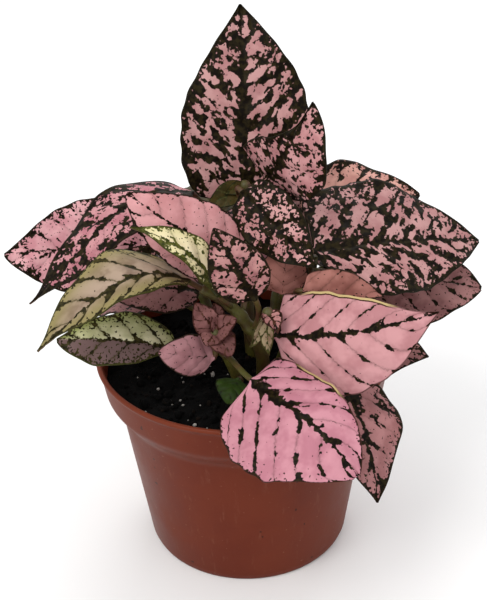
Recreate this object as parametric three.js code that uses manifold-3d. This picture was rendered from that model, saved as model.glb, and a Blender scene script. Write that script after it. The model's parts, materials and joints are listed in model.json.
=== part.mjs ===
// Potted polka dot plant (Hypoestes phyllostachya) in a 10.5 cm nursery pot.
// Millimetres, +Z up. The pot stands on z = 0 with its axis on Z, and the front of the plant faces -Y.
import * as THREE from "three";
import { mergeVertices } from "three/addons/utils/BufferGeometryUtils.js";
import Module from "manifold-3d";

const wasm = await Module();
wasm.setup();

// ---------- Pot ----------
const POT_HEIGHT = 77;
const RIM_RADIUS = 52.5; // outer edge of the rolled lip
const BASE_RADIUS = 37;
const COLLAR_HEIGHT = 16; // the flared band under the rim
const COLLAR_FOOT_RADIUS = 49.4;
const BODY_TOP_RADIUS = 45.6; // the conical wall where it meets the collar
const COLLAR_BLEND = 9; // height over which the collar runs into the wall
const BLEND_STEPS = [-0.5, -0.2, 0.1, 0.5]; // where that run is sampled, in shares of it
const WALL = 1.5;
const LIP_ROUND = 0.9;
const LIP_PROUD = 0.6; // how far the lip stands out from the collar
const FLOOR_THICKNESS = 1.8;
const DRAIN_HOLES = 6;
const DRAIN_RADIUS = 3.5;
const DRAIN_CIRCLE = 26;
const DRAIN_SIDES = 12;
const POT_SECTORS = 40;

// ---------- Soil ----------
const FIT_GAP = 0.3; // clearance between neighbouring pieces
const SOIL_LEVEL = 68.5;
const SOIL_BUMP = 1.1;
const SOIL_RINGS = [41, 28, 14];

// ---------- Stems and petioles ----------
const STEM_SIDES = 8;
const ROOT_DEPTH = 26; // how far each stem runs down into the soil
const PETIOLE_RADIUS = 0.95;
const PETIOLE_RINGS = 3;

// ---------- Blades ----------
const BLADE_THICKNESS = 0.75;
const MIDRIB_DEPTH = 0.7; // how far the midrib stands out under the blade
const WIDEST_POINT = 0.716; // power that puts the greatest width at 0.38 of the length
const BASE_FULLNESS = 0.62;
const TIP_TAPER = 0.5;
const MARGIN_WAVES = 2.5; // waves of the margin from base to tip
const WAVE_OFFSET = 1.9; // how far the right margin's waves run ahead of the left's, in radians
const MARGIN_DROOP = 0.12; // how far the margins turn down, as a share of the half width
const LARGE_LEAF = 44; // blades longer than this get the finer net of points
const LARGE_RINGS = [0.03, 0.11, 0.22, 0.34, 0.47, 0.6, 0.73, 0.85, 0.94, 0.993];
const SMALL_RINGS = [0.03, 0.14, 0.3, 0.46, 0.62, 0.78, 0.91, 0.99];
const YOUNG_RINGS = [0.15, 0.32, 0.52, 0.72, 0.9, 0.985];
const SHOOT_STALK = 1.1;
const SHOOT_BUD = 1.9;

const vec = (a) => new THREE.Vector3(a[0], a[1], a[2]);
const rad = THREE.MathUtils.degToRad;

// Each stem: points on its axis from the soil upwards, then the radius at the foot and at the top.
const STEMS = {
  stem_crown: {
    points: [[3, 4, 68], [2, 6, 92], [4, 8, 116], [5, 6, 134]],
    radius: [2.4, 1.5],
  },
  stem_left: {
    points: [[6, -16, 68], [6, -21, 86], [2, -24, 98.5], [-5, -24, 108], [-13, -23, 113]],
    radius: [2.4, 1.8],
  },
  stem_right: {
    points: [[12, -3, 68], [17, -9, 88], [21, -13, 104], [24, -12, 118]],
    radius: [2.3, 1.4],
  },
  stem_front: {
    points: [[-2, -19, 68], [-3, -24, 80], [-6, -27, 90], [-8, -29, 97]],
    radius: [2, 1.3],
  },
  stem_back_left: {
    points: [[-8, 8, 68], [-14, 14, 90], [-19, 17, 110]],
    radius: [2.2, 1.4],
  },
  stem_back_right: {
    points: [[9, 14, 68], [14, 22, 90], [18, 28, 110]],
    radius: [2.2, 1.4],
  },
};

// Each leaf: the stem it grows from and how far up it (at), the blade's base and tip, the direction its
// upper side faces, and the widths of its left and right halves. Then how far the midrib arches (bow), how
// far towards the base the arch peaks (early), how far it curves sideways (sweep), how steeply the two
// halves rise from it (fold, degrees) and how high the margin waves. A smaller blunt gives a fuller base,
// a smaller taper a fuller tip and a smaller widest a half widest nearer its base, left half then right.
// A heart-shaped blade reaches back past its base by its lobes.
const LEAVES = [
  // Crown
  { name: "leaf_crown_tall", stem: "stem_crown", at: 0.82, base: [3, 11, 128], tip: [2, 30, 191],
    face: [0, -1, 0.3], half: [22.8, 23], bow: 3, fold: [10, 10], wave: 1, blunt: [0.3, 0.45],
    taper: [0.45, 0.33], widest: [0.6, 0.716] },
  { name: "leaf_crown_front", stem: "stem_crown", at: 0.93, base: [9, 0, 141], tip: [22.5, -22, 175],
    face: [0.1, -0.8, 0.8], half: [13, 17.2], bow: 3, sweep: -2, fold: [6, 10], wave: 1,
    blunt: [0.1, 0.45], taper: [1.6, 0.1], widest: [0.3, 0.95] },
  { name: "leaf_crown_hanging", stem: "stem_crown", at: 0.84, base: [1, -9, 140.5], tip: [24, -28, 122],
    face: [-0.4, -0.8, 0.5], half: [10.4, 9.6], bow: 2, fold: [5, 5], wave: 0.8, blunt: [0.3, 0.4],
    taper: [0.5, 0.3] },
  { name: "leaf_crown_back", stem: "stem_crown", at: 0.78, base: [10, 20, 128], tip: [8, 55, 146],
    face: [0, -0.3, 1], half: [15, 15], bow: 4, fold: [8, 8], wave: 1 },
  { name: "leaf_crown_low_left", stem: "stem_crown", at: 0.62, base: [-6, 20, 119], tip: [-24, 50, 115],
    face: [0, 0, 1], half: [12, 12], bow: 4, fold: [8, 8], wave: 1 },
  { name: "leaf_crown_low_right", stem: "stem_crown", at: 0.58, base: [10, 20, 118], tip: [28, 50, 117],
    face: [0, 0, 1], half: [12, 12], bow: 4, fold: [8, 8], wave: 1 },
  // Right side
  { name: "leaf_right_large", stem: "stem_right", at: 0.94, base: [23, -20, 124], tip: [84, 12, 109.6],
    face: [0.1, -0.6, 0.8], half: [25.2, 20], bow: 4, fold: [2, 4], wave: 1.2, blunt: [0.2, 0.9],
    taper: [0.42, 0.25] },
  { name: "leaf_right_behind", stem: "stem_back_right", at: 0.9, base: [22, 12, 118], tip: [64, 22, 123.5],
    face: [0, -0.5, 0.8], half: [21.4, 17], bow: 3, fold: [4, 4], wave: 1.2, taper: [0.25, 0.3] },
  { name: "leaf_right_lower", stem: "stem_back_right", at: 0.6, base: [38, 6, 101], tip: [84, 2, 96],
    face: [0, -0.5, 0.8], half: [18, 20], bow: 3, fold: [4, 4], wave: 1.2, taper: [0.2, 0.15] },
  { name: "leaf_right_inner", stem: "stem_right", at: 0.66, base: [19.5, -26.4, 113], tip: [46, -27.2, 110.4],
    face: [0, -0.95, 0.3], half: [8, 2.2], bow: 2, fold: [4, 4], wave: 0.8, blunt: [0.3, 0.62] },
  { name: "leaf_right_short", stem: "stem_right", at: 0.58, base: [13, -18.5, 108], tip: [15.5, -16, 126],
    face: [0, -0.9, 0.4], half: [8.4, 8], bow: 1, fold: [4, 4], wave: 0.4, blunt: [0.2, 0.4],
    color: "#a06a6a" },
  { name: "leaf_right_under", stem: "stem_right", at: 0.3, base: [33, -16, 86], tip: [62, -24, 85],
    face: [0, -0.5, 0.8], half: [12, 12], bow: 3, fold: [4, 4], wave: 1 },
  { name: "leaf_right_low", stem: "stem_back_right", at: 0.35, base: [28, 14, 89], tip: [64, 20, 80],
    face: [0, 0, 1], half: [14, 14], bow: 4, fold: [6, 6], wave: 1 },
  // Front
  { name: "leaf_front_right", stem: "stem_right", at: 0.5, base: [10, -32, 100], tip: [59, -52, 119],
    face: [0, -0.95, 0.35], half: [13.8, 20.5], bow: 3, sweep: -2, fold: [-19, 4], wave: 0.8,
    blunt: [0.02, 0.5], widest: [0.45, 0.716] },
  { name: "leaf_front_low", stem: "stem_front", at: 0.7, base: [2.3, -43.5, 90.8], tip: [33, -78, 78],
    face: [0, -0.8, 0.6], half: [14.5, 24.5], bow: 6, early: -0.5, sweep: 2, fold: [-15, 0], wave: 1,
    blunt: [0.12, 0.35], taper: [0, 0], lobe: [5, 6] },
  { name: "leaf_front_side", stem: "stem_right", at: 0.35, base: [30, -33, 86], tip: [41, -64, 56],
    face: [0.4, -0.6, 0.6], half: [16, 16], bow: 6, fold: [0, 0], wave: 1.2 },
  { name: "leaf_front_green", stem: "stem_front", at: 0.25, base: [-2, -33, 84], tip: [-6, -41, 80],
    face: [0, -0.6, 0.8], half: [6.5, 6.5], bow: 2, fold: [0, 0], wave: 0.2, taper: [0.1, 0.1],
    color: "#4d6b2c" },
  { name: "leaf_front_small", stem: "stem_front", at: 0.95, base: [-10, -30, 91], tip: [-27, -40, 100],
    face: [0, -0.9, 0.4], half: [7, 7.5], bow: 1.5, fold: [0, 0], wave: 0.2, taper: [0, 0] },
  { name: "leaf_centre", stem: "stem_left", at: 0.5, base: [4, -32.5, 114], tip: [-8, -38, 142],
    face: [0, -1, 0.3], half: [9.5, 9.5], bow: 2, fold: [6, 6], wave: 0.6, taper: [0.2, 0.2] },
  // Left side
  { name: "leaf_left_far", stem: "stem_back_left", at: 0.75, base: [-34, 24, 106], tip: [-82, 6, 113],
    face: [0, -0.8, 0.6], half: [18, 18], bow: 2, fold: [4, 4], wave: 1.2, taper: [0.05, 0.5] },
  { name: "leaf_left_broad", stem: "stem_back_left", at: 0.97, base: [-16, 12, 131], tip: [-69, -26, 111],
    face: [0, -0.1, 1], half: [12, 12.5], bow: 10.5, early: 0.8, fold: [-6, 4], wave: 1.2,
    blunt: [0.6, 0.3], taper: [0.5, 0.7] },
  { name: "leaf_left_upper", stem: "stem_left", at: 0.62, base: [0, -15.7, 118], tip: [-35, -20.7, 146.7],
    face: [0, -0.9, 0.45], half: [12, 13], bow: 3, sweep: 1, fold: [4, 4], wave: 0.8,
    taper: [0, 0.25] },
  { name: "leaf_left_arched", stem: "stem_left", at: 1, base: [-17, -25, 117], tip: [-63, -52, 109],
    face: [0, -0.25, 0.95], half: [7, 15], bow: 12, early: 0.5, fold: [-4, 4], wave: 1,
    blunt: [0.5, 0.2], taper: [0.9, 0.5], color: "#d8d0a0" },
  { name: "leaf_left_strip", stem: "stem_left", at: 0.72, base: [-7, -28, 113], tip: [-34, -30, 139.5],
    face: [0.6, -0.4, 0.7], half: [5, 9], bow: 7, fold: [4, 4], wave: 0.5, color: "#e6e0a0" },
  { name: "leaf_left_tucked", stem: "stem_back_left", at: 0.8, base: [-27.5, -15.8, 123.6],
    tip: [-57, -34.5, 113],
    face: [0, -0.87, 0.5], half: [6, 4.8], bow: 2, sweep: -2, fold: [4, 4], wave: 0.6, color: "#9a7a6a" },
  { name: "leaf_left_shaded", stem: "stem_left", at: 0.6, base: [-14, -6, 103], tip: [-50, -6, 104],
    face: [0, -0.5, 0.8], half: [10, 11], bow: 3, fold: [4, 4], wave: 0.8, color: "#a06a80" },
  { name: "leaf_left_folded", stem: "stem_front", at: 0.85, base: [-22, -25, 92], tip: [-60.5, -31, 100.5],
    face: [0, -0.5, 0.85], half: [8.5, 11], bow: 3, fold: [-25, 5], wave: 0.6, taper: [0, 0.3],
    widest: [1.3, 0.716], color: "#b8c090" },
  { name: "leaf_left_low", stem: "stem_back_left", at: 0.35, base: [-26, 14, 89], tip: [-60, 20, 80],
    face: [0, 0, 1], half: [14, 14], bow: 4, fold: [6, 6], wave: 1 },
  // Back
  { name: "leaf_back_left_high", stem: "stem_back_left", at: 0.88, base: [-18, 32, 100],
    tip: [-38, 66, 92],
    face: [-0.2, 0.3, 1], half: [18, 18], bow: 6, fold: [6, 6], wave: 1.2 },
  { name: "leaf_back_left_low", stem: "stem_back_left", at: 0.5, base: [-20, 28, 90], tip: [-46, 60, 76],
    face: [-0.2, 0.3, 1], half: [17, 17], bow: 6, fold: [6, 6], wave: 1.2 },
  { name: "leaf_back_middle_high", stem: "stem_back_left", at: 0.96, base: [-3, 26, 108],
    tip: [3, 72, 102],
    face: [0, 0, 1], half: [19, 19], bow: 7, fold: [6, 6], wave: 1.2 },
  { name: "leaf_back_middle_low", stem: "stem_back_right", at: 0.4, base: [12, 32, 93], tip: [10, 70, 80],
    face: [0, 0.3, 1], half: [16, 16], bow: 6, fold: [6, 6], wave: 1.2 },
  { name: "leaf_back_right_high", stem: "stem_back_right", at: 0.96, base: [26, 36, 108],
    tip: [50, 70, 102],
    face: [0.2, 0.3, 1], half: [18, 18], bow: 7, fold: [6, 6], wave: 1.2 },
  { name: "leaf_back_right_low", stem: "stem_back_right", at: 0.5, base: [30, 30, 91], tip: [60, 52, 78],
    face: [0.2, 0.3, 1], half: [16, 16], bow: 6, fold: [6, 6], wave: 1.2 },
];

// Young leaves in a tuft at the end of a short side stalk. Each has its tip, the way its upper side faces,
// the width of its halves and how steeply they rise.
const SHOOTS = [
  { name: "shoot_front", stem: "stem_front", at: 1, crown: [-9, -31, 101], leaves: [
    { tip: [-15, -32, 113], face: [0.3, -1, 0.2], half: [5, 4.5], fold: [10, 10], taper: [0.1, 0.1] },
    { tip: [-9, -27, 110], face: [0.9, -0.9, 0], half: [4, 4], fold: [20, 20], taper: [0, 0] },
    { tip: [-2, -34, 108], face: [-0.4, -0.7, 0.6], half: [4.5, 5], fold: [25, 25], taper: [0, 0] },
    { tip: [-4, -39, 97], face: [0.2, -0.8, 0.7], half: [5, 5], fold: [20, 20], taper: [0, 0] },
    { tip: [-12, -37, 100], face: [0, -0.6, 0.8], half: [4.5, 4.5], fold: [15, 15], taper: [0, 0] },
  ] },
  { name: "shoot_centre", stem: "stem_left", at: 0.42, crown: [8, -31, 108], leaves: [
    { tip: [11, -39, 105], face: [0.2, -0.8, 0.7], half: [4, 4], fold: [30, 30] },
    { tip: [8, -38, 96], face: [-0.4, -0.9, 0.2], half: [3.5, 3], fold: [30, 30] },
    { tip: [2, -36, 98], face: [0.5, -0.8, 0.3], half: [3, 3], fold: [25, 25] },
  ] },
  { name: "shoot_crown", stem: "stem_crown", at: 1, crown: [2, 6, 136], leaves: [
    { tip: [-11.5, 0.5, 130.5], face: [0.3, -0.7, 0.7], half: [4.4, 4.4], fold: [15, 15] },
    { tip: [-5, 2.5, 134.5], face: [0.4, -0.6, 0.6], half: [2.6, 2.6], fold: [30, 30] },
  ] },
];

// The midrib's point at u of a blade's length, with the directions along it, across it and out of it.
function bladeFrame(leaf, u) {
  const base = vec(leaf.base);
  const chord = vec(leaf.tip).sub(base);
  const length = chord.length();
  chord.normalize();
  const up = vec(leaf.face).addScaledVector(chord, -vec(leaf.face).dot(chord)).normalize();
  const left = up.clone().cross(chord);
  const { bow, sweep = 0, early = 0 } = leaf;
  const rise = 4 * u * (1 - u) * (1 + early * (1 - 2 * u));
  const slope = 4 * (1 - 2 * u) * (1 + early * (1 - 2 * u)) - 8 * early * u * (1 - u);
  const point = base
    .addScaledVector(chord, length * u)
    .addScaledVector(up, bow * rise)
    .addScaledVector(left, sweep * rise);
  const along = chord
    .clone()
    .multiplyScalar(length)
    .addScaledVector(up, bow * slope)
    .addScaledVector(left, sweep * slope)
    .normalize();
  const side = left.addScaledVector(along, -left.dot(along)).normalize();
  return { point, along, side, normal: along.clone().cross(side) };
}

// Width of one half of a blade at u along its midrib: side 0 is the left half, 1 the right.
function halfWidth(leaf, u, side) {
  const widest = leaf.widest ? leaf.widest[side] : WIDEST_POINT;
  const arc = Math.max(Math.sin(Math.PI * u ** widest), 0);
  const blunt = leaf.blunt ? leaf.blunt[side] : BASE_FULLNESS;
  const taper = leaf.taper ? leaf.taper[side] : TIP_TAPER;
  return leaf.half[side] * arc ** (blunt + (BASE_FULLNESS + taper - blunt) * u);
}

// Point on the upper side of a blade, u from base to tip and v from the right margin (-1) to the left (1).
function bladePoint(leaf, u, v, depth = 0) {
  const { point, along, side, normal } = bladeFrame(leaf, u);
  const which = v >= 0 ? 0 : 1;
  const half = halfWidth(leaf, u, which);
  const fold = rad(leaf.fold[which]);
  const lobe = leaf.lobe ? (leaf.lobe[which] * half) / leaf.half[which] : 0;
  const out = half * Math.abs(v);
  const phase = 2 * Math.PI * MARGIN_WAVES * u + (v >= 0 ? 0 : WAVE_OFFSET);
  const ripple = leaf.wave * v * v * Math.sin(phase) * Math.sin(Math.PI * u) ** 0.5;
  const cup = -MARGIN_DROOP * half * v * v;
  return point
    .addScaledVector(along, -lobe * v * v * (1 - u) ** 4)
    .addScaledVector(side, Math.sign(v) * out * Math.cos(fold))
    .addScaledVector(normal, out * Math.sin(fold) + cup + ripple - depth / Math.cos(fold));
}

// Joins rows of matching upper and lower points into one closed skin.
function skin(upper, lower) {
  const [end, last] = [upper.length - 1, upper[0].length - 1];
  const top = (i, k) => i * (last + 1) + k;
  const under = (i, k) => top(end + 1, 0) + top(i, k);
  const faces = [];
  for (let i = 0; i < end; i += 1) {
    for (let k = 0; k < last; k += 1) {
      faces.push([top(i, k), top(i + 1, k), top(i + 1, k + 1)]);
      faces.push([top(i, k), top(i + 1, k + 1), top(i, k + 1)]);
      faces.push([under(i, k), under(i + 1, k + 1), under(i + 1, k)]);
      faces.push([under(i, k), under(i, k + 1), under(i + 1, k + 1)]);
    }
    faces.push([top(i, 0), under(i, 0), under(i + 1, 0)]);
    faces.push([top(i, 0), under(i + 1, 0), top(i + 1, 0)]);
    faces.push([top(i, last), under(i + 1, last), under(i, last)]);
    faces.push([top(i, last), top(i + 1, last), under(i + 1, last)]);
  }
  for (let k = 0; k < last; k += 1) {
    faces.push([top(0, k), top(0, k + 1), under(0, k + 1)]);
    faces.push([top(0, k), under(0, k + 1), under(0, k)]);
    faces.push([top(end, k), under(end, k + 1), top(end, k + 1)]);
    faces.push([top(end, k), under(end, k), under(end, k + 1)]);
  }
  return geometryOf([...upper.flat(), ...lower.flat()], faces);
}

// A geometry from points and triangles of their indices.
function geometryOf(points, faces) {
  const geometry = new THREE.BufferGeometry();
  const flat = points.flatMap((p) => [p.x, p.y, p.z]);
  geometry.setAttribute("position", new THREE.Float32BufferAttribute(flat, 3));
  geometry.setIndex(faces.flat());
  return geometry;
}

// Upper and lower points of one round slice, centred on a stalk.
function roundRow(centre, side, normal, radius, across) {
  const row = (sign) =>
    Array.from({ length: across }, (_, k) => {
      const angle = Math.PI * (1 - (k + 0.5) / across);
      return centre
        .clone()
        .addScaledVector(side, radius * Math.cos(angle))
        .addScaledVector(normal, sign * radius * Math.sin(angle));
    });
  return [row(1), row(-1)];
}

// The stem's axis as a curve, with its radius along it.
function stemAxis(name) {
  const { points, radius } = STEMS[name];
  const curve = new THREE.CatmullRomCurve3(points.map(vec), false, "centripetal");
  const radiusAt = (t) => radius[0] + (radius[1] - radius[0]) * t;
  return { curve, radiusAt };
}

// Where a stalk starts, just clear of its stem, and the direction it sets off in.
function stalkStart(stem, at, goal) {
  const { curve, radiusAt } = stemAxis(stem);
  const foot = curve.getPoint(at);
  const axis = curve.getTangent(at);
  const towards = vec(goal).sub(foot);
  const out = towards.addScaledVector(axis, -towards.dot(axis)).normalize();
  if (at === 1) return { start: foot.addScaledVector(axis, FIT_GAP), out: axis, axis };
  return { start: foot.addScaledVector(out, radiusAt(at) + FIT_GAP), out, axis };
}

// Round slices of a stalk from its start to a goal it meets along the direction `arrive`.
function stalkRows({ start, out, axis }, goal, arrive, across, radius, rings) {
  const reach = start.distanceTo(goal.point);
  const leave = out.clone().addScaledVector(axis, 0.6).normalize().multiplyScalar(reach);
  const end = arrive.clone().multiplyScalar(reach);
  const rows = [];
  for (let i = 0; i < rings; i += 1) {
    const t = i / PETIOLE_RINGS;
    const eased = 3 * t * t - 2 * t ** 3;
    const place = [1 - eased, t ** 3 - 2 * t * t + t, eased, t ** 3 - t * t];
    const slope = [6 * t * t - 6 * t, 3 * t * t - 4 * t + 1, -6 * t * t + 6 * t, 3 * t * t - 2 * t];
    const blend = (w) =>
      new THREE.Vector3()
        .addScaledVector(start, w[0])
        .addScaledVector(leave, w[1])
        .addScaledVector(goal.point, w[2])
        .addScaledVector(end, w[3]);
    const along = i === 0 ? out : blend(slope).normalize();
    const side = goal.side.clone().addScaledVector(along, -goal.side.dot(along)).normalize();
    rows.push(roundRow(blend(place), side, along.clone().cross(side), radius, across));
  }
  return rows;
}

// Slices of a blade at each share of its length, thickest along the midrib.
function bladeRows(leaf, shares, across) {
  const places = Array.from({ length: across }, (_, k) => (2 * k) / (across - 1) - 1);
  return shares.map((u) => {
    const rib = (v) => (Math.abs(v) < 0.01 ? MIDRIB_DEPTH * (1 - u) : 0);
    return [
      places.map((v) => bladePoint(leaf, u, v)),
      places.map((v) => bladePoint(leaf, u, v, BLADE_THICKNESS + rib(v))),
    ];
  });
}

// A leaf: a round stalk that widens into a thin blade with a raised midrib underneath.
function leafGeometry(leaf) {
  const large = vec(leaf.base).distanceTo(vec(leaf.tip)) > LARGE_LEAF;
  const across = large ? 7 : 5;
  const blade = bladeFrame(leaf, 0);
  const stalk = stalkRows(
    stalkStart(leaf.stem, leaf.at, leaf.base), blade, blade.along, across, PETIOLE_RADIUS, PETIOLE_RINGS,
  );
  const rows = [...stalk, ...bladeRows(leaf, large ? LARGE_RINGS : SMALL_RINGS, across)];
  return skin(rows.map((row) => row[0]), rows.map((row) => row[1]));
}

// A tuft of young leaves whose bases are sunk into the end of their common stalk.
function shootGeometry(shoot) {
  const crown = vec(shoot.crown);
  const first = stalkStart(shoot.stem, shoot.at, shoot.crown);
  const arrive = crown.clone().sub(first.start).normalize();
  const side = new THREE.Vector3(1, 0, 0).addScaledVector(arrive, -arrive.x).normalize();
  const stalk = stalkRows(first, { point: crown, side }, arrive, 4, SHOOT_STALK, PETIOLE_RINGS + 1);
  let tuft = solidOf(skin(stalk.map((row) => row[0]), stalk.map((row) => row[1])));
  tuft = tuft.add(solidOf(new THREE.IcosahedronGeometry(SHOOT_BUD, 1).translate(...shoot.crown)));
  for (const young of shoot.leaves) {
    const leaf = { wave: 0.3, bow: 1, ...young, base: shoot.crown };
    const blade = bladeFrame(leaf, 0);
    const neck = roundRow(blade.point, blade.side, blade.normal, PETIOLE_RADIUS, 5);
    const rows = [neck, ...bladeRows(leaf, YOUNG_RINGS, 5)];
    tuft = tuft.add(solidOf(skin(rows.map((row) => row[0]), rows.map((row) => row[1]))));
  }
  return geometryFrom(tuft);
}

// A round body along a curve, from one share of it to another, with flat ends.
function roundBody(curve, radiusAt, from, to, rings, grow = 0) {
  const points = [];
  const faces = [];
  const first = curve.getTangent(from);
  let side = new THREE.Vector3(1, 0, 0).addScaledVector(first, -first.x).normalize();
  for (let i = 0; i <= rings; i += 1) {
    const t = from + ((to - from) * i) / rings;
    const along = curve.getTangent(t);
    side = side.addScaledVector(along, -side.dot(along)).normalize();
    const other = along.clone().cross(side);
    const centre = curve.getPoint(t);
    for (let k = 0; k < STEM_SIDES; k += 1) {
      const angle = (2 * Math.PI * k) / STEM_SIDES;
      points.push(
        centre
          .clone()
          .addScaledVector(side, (radiusAt(t) + grow) * Math.cos(angle))
          .addScaledVector(other, (radiusAt(t) + grow) * Math.sin(angle)),
      );
    }
  }
  for (let i = 0; i < rings; i += 1)
    for (let k = 0; k < STEM_SIDES; k += 1) {
      const a = i * STEM_SIDES + k;
      const b = i * STEM_SIDES + ((k + 1) % STEM_SIDES);
      faces.push([a, b, b + STEM_SIDES], [a, b + STEM_SIDES, a + STEM_SIDES]);
    }
  const end = rings * STEM_SIDES;
  for (let k = 1; k + 1 < STEM_SIDES; k += 1) faces.push([0, k + 1, k], [end, end + k, end + k + 1]);
  return geometryOf(points, faces);
}

// The straight tapered root that carries a stem on down into the soil, or the hole for it.
function rootLine(name, over = 0) {
  const { points, radius } = STEMS[name];
  const top = vec(points[0]);
  const lean = vec(points[0]).sub(vec(points[1])).normalize();
  const line = new THREE.LineCurve3(
    top.clone().addScaledVector(lean, ROOT_DEPTH + over),
    top.clone().addScaledVector(lean, -over * 12 - 0.4),
  );
  const radiusAt = (t) => radius[0] * (0.5 + 0.5 * t);
  return { line, radiusAt };
}

// The closed solid inside a geometry.
const solidOf = (geometry) => {
  const bare = geometry.clone();
  bare.deleteAttribute("normal");
  bare.deleteAttribute("uv");
  const merged = mergeVertices(bare, 1e-4);
  return new wasm.Manifold(
    new wasm.Mesh({
      numProp: 3,
      vertProperties: merged.attributes.position.array,
      triVerts: new Uint32Array(merged.index.array),
    }),
  );
};

// A geometry from a solid.
const geometryFrom = (solid) => {
  const { numProp, numVert, vertProperties, triVerts } = solid.getMesh();
  const position = new Float32Array(numVert * 3);
  for (let i = 0; i < numVert; i += 1) {
    position.set(vertProperties.subarray(i * numProp, i * numProp + 3), i * 3);
  }
  const geometry = new THREE.BufferGeometry();
  geometry.setAttribute("position", new THREE.BufferAttribute(position, 3));
  geometry.setIndex(new THREE.BufferAttribute(triVerts, 1));
  return geometry;
};

// Radius of the pot's outer surface at a height, without the lip.
function potRadius(z) {
  const collarFoot = POT_HEIGHT - COLLAR_HEIGHT;
  const wall = BASE_RADIUS + ((BODY_TOP_RADIUS - BASE_RADIUS) * z) / collarFoot;
  const flare = (RIM_RADIUS - LIP_PROUD - COLLAR_FOOT_RADIUS) / COLLAR_HEIGHT;
  const collar = COLLAR_FOOT_RADIUS + flare * (z - collarFoot);
  const half = COLLAR_BLEND / 2;
  return wall + (collar - wall) * THREE.MathUtils.smoothstep(z, collarFoot - half, collarFoot + half);
}

// The pot: a turned shell with a rolled lip and a ring of drain holes in its floor.
function potGeometry() {
  const collarFoot = POT_HEIGHT - COLLAR_HEIGHT;
  const blend = BLEND_STEPS.map((s) => collarFoot + COLLAR_BLEND * s);
  const outer = [2, ...blend, POT_HEIGHT - 3].map((z) => [potRadius(z), z]);
  const lip = [-90, -45, 0, 45, 90, 135].map((a) => [
    RIM_RADIUS - LIP_ROUND + LIP_ROUND * Math.cos(rad(a)),
    POT_HEIGHT - LIP_ROUND + LIP_ROUND * Math.sin(rad(a)),
  ]);
  const inner = [POT_HEIGHT - 2.4, ...blend.toReversed()].map((z) => [potRadius(z) - WALL, z]);
  const profile = [
    [0, 0],
    [BASE_RADIUS - 1.2, 0],
    [BASE_RADIUS - 0.2, 0.7],
    ...outer,
    ...lip,
    ...inner,
    [BASE_RADIUS - WALL + 0.4, FLOOR_THICKNESS + 1.2],
    [BASE_RADIUS - WALL - 1, FLOOR_THICKNESS],
    [0, FLOOR_THICKNESS],
  ].map(([r, z]) => new THREE.Vector2(r, z));
  const shell = new THREE.LatheGeometry(profile, POT_SECTORS).rotateX(Math.PI / 2);
  const drill = new THREE.CylinderGeometry(DRAIN_RADIUS, DRAIN_RADIUS, 3 * FLOOR_THICKNESS, DRAIN_SIDES);
  const hole = drill.rotateX(Math.PI / 2);
  let pot = solidOf(shell);
  for (let i = 0; i < DRAIN_HOLES; i += 1) {
    const angle = (2 * Math.PI * (i + 0.5)) / DRAIN_HOLES;
    const place = [DRAIN_CIRCLE * Math.cos(angle), DRAIN_CIRCLE * Math.sin(angle), FLOOR_THICKNESS / 2];
    pot = pot.subtract(solidOf(hole.clone().translate(...place)));
  }
  return geometryFrom(pot);
}

// Height of the soil at a place: a low uneven crumb, lower towards the wall.
function soilHeight(x, y) {
  const broad = Math.sin(0.31 * x + 0.6) * Math.cos(0.27 * y - 0.4);
  const fine = Math.sin(0.62 * x - 0.45 * y + 1.3);
  return SOIL_LEVEL + SOIL_BUMP * (0.6 * broad + 0.36 * fine);
}

// The soil: it fills the pot, and each stem's root stands in a plain hole in it.
function soilGeometry() {
  const foot = FLOOR_THICKNESS + FIT_GAP;
  const collarFoot = POT_HEIGHT - COLLAR_HEIGHT;
  const inside = (z) => potRadius(z) - WALL - FIT_GAP / Math.cos(Math.PI / POT_SECTORS) - 0.05;
  const heights = [...BLEND_STEPS.map((s) => collarFoot + COLLAR_BLEND * s), SOIL_LEVEL - 1.5];
  const wall = [
    [BASE_RADIUS - WALL - 1.4, foot],
    [BASE_RADIUS - WALL + 0.1, foot + 1.2],
    ...heights.map((z) => [inside(z), z]),
  ];
  const points = [];
  const faces = [];
  const ringOf = (radius, heightAt) => {
    for (let k = 0; k < POT_SECTORS; k += 1) {
      const angle = (2 * Math.PI * k) / POT_SECTORS;
      const [x, y] = [radius * Math.sin(angle), -radius * Math.cos(angle)];
      points.push(new THREE.Vector3(x, y, heightAt(x, y)));
    }
  };
  for (const [radius, z] of wall) ringOf(radius, () => z);
  ringOf(inside(SOIL_LEVEL), soilHeight);
  for (const radius of SOIL_RINGS) ringOf(radius, soilHeight);
  const rings = points.length / POT_SECTORS;
  for (let i = 0; i + 1 < rings; i += 1)
    for (let k = 0; k < POT_SECTORS; k += 1) {
      const a = i * POT_SECTORS + k;
      const b = i * POT_SECTORS + ((k + 1) % POT_SECTORS);
      faces.push([a, b, b + POT_SECTORS], [a, b + POT_SECTORS, a + POT_SECTORS]);
    }
  points.push(new THREE.Vector3(0, 0, foot), new THREE.Vector3(0, 0, soilHeight(0, 0)));
  const last = (rings - 1) * POT_SECTORS;
  for (let k = 0; k < POT_SECTORS; k += 1) {
    const next = (k + 1) % POT_SECTORS;
    faces.push([points.length - 2, next, k], [points.length - 1, last + k, last + next]);
  }
  let soil = solidOf(geometryOf(points, faces));
  for (const name of Object.keys(STEMS)) {
    const { line, radiusAt } = rootLine(name, FIT_GAP);
    soil = soil.subtract(solidOf(roundBody(line, radiusAt, 0, 1, 1, FIT_GAP * 1.1)));
  }
  return geometryFrom(soil);
}

// A stem with its root: the curved part above the soil joined to the straight part below.
function stemGeometry(name) {
  const { curve, radiusAt } = stemAxis(name);
  const { line, radiusAt: rootRadius } = rootLine(name);
  const above = solidOf(roundBody(curve, radiusAt, 0, 1, 8));
  return geometryFrom(above.add(solidOf(roundBody(line, rootRadius, 0, 1, 2))));
}

const plant = new THREE.Group();
plant.name = "polka_dot_plant";

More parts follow.
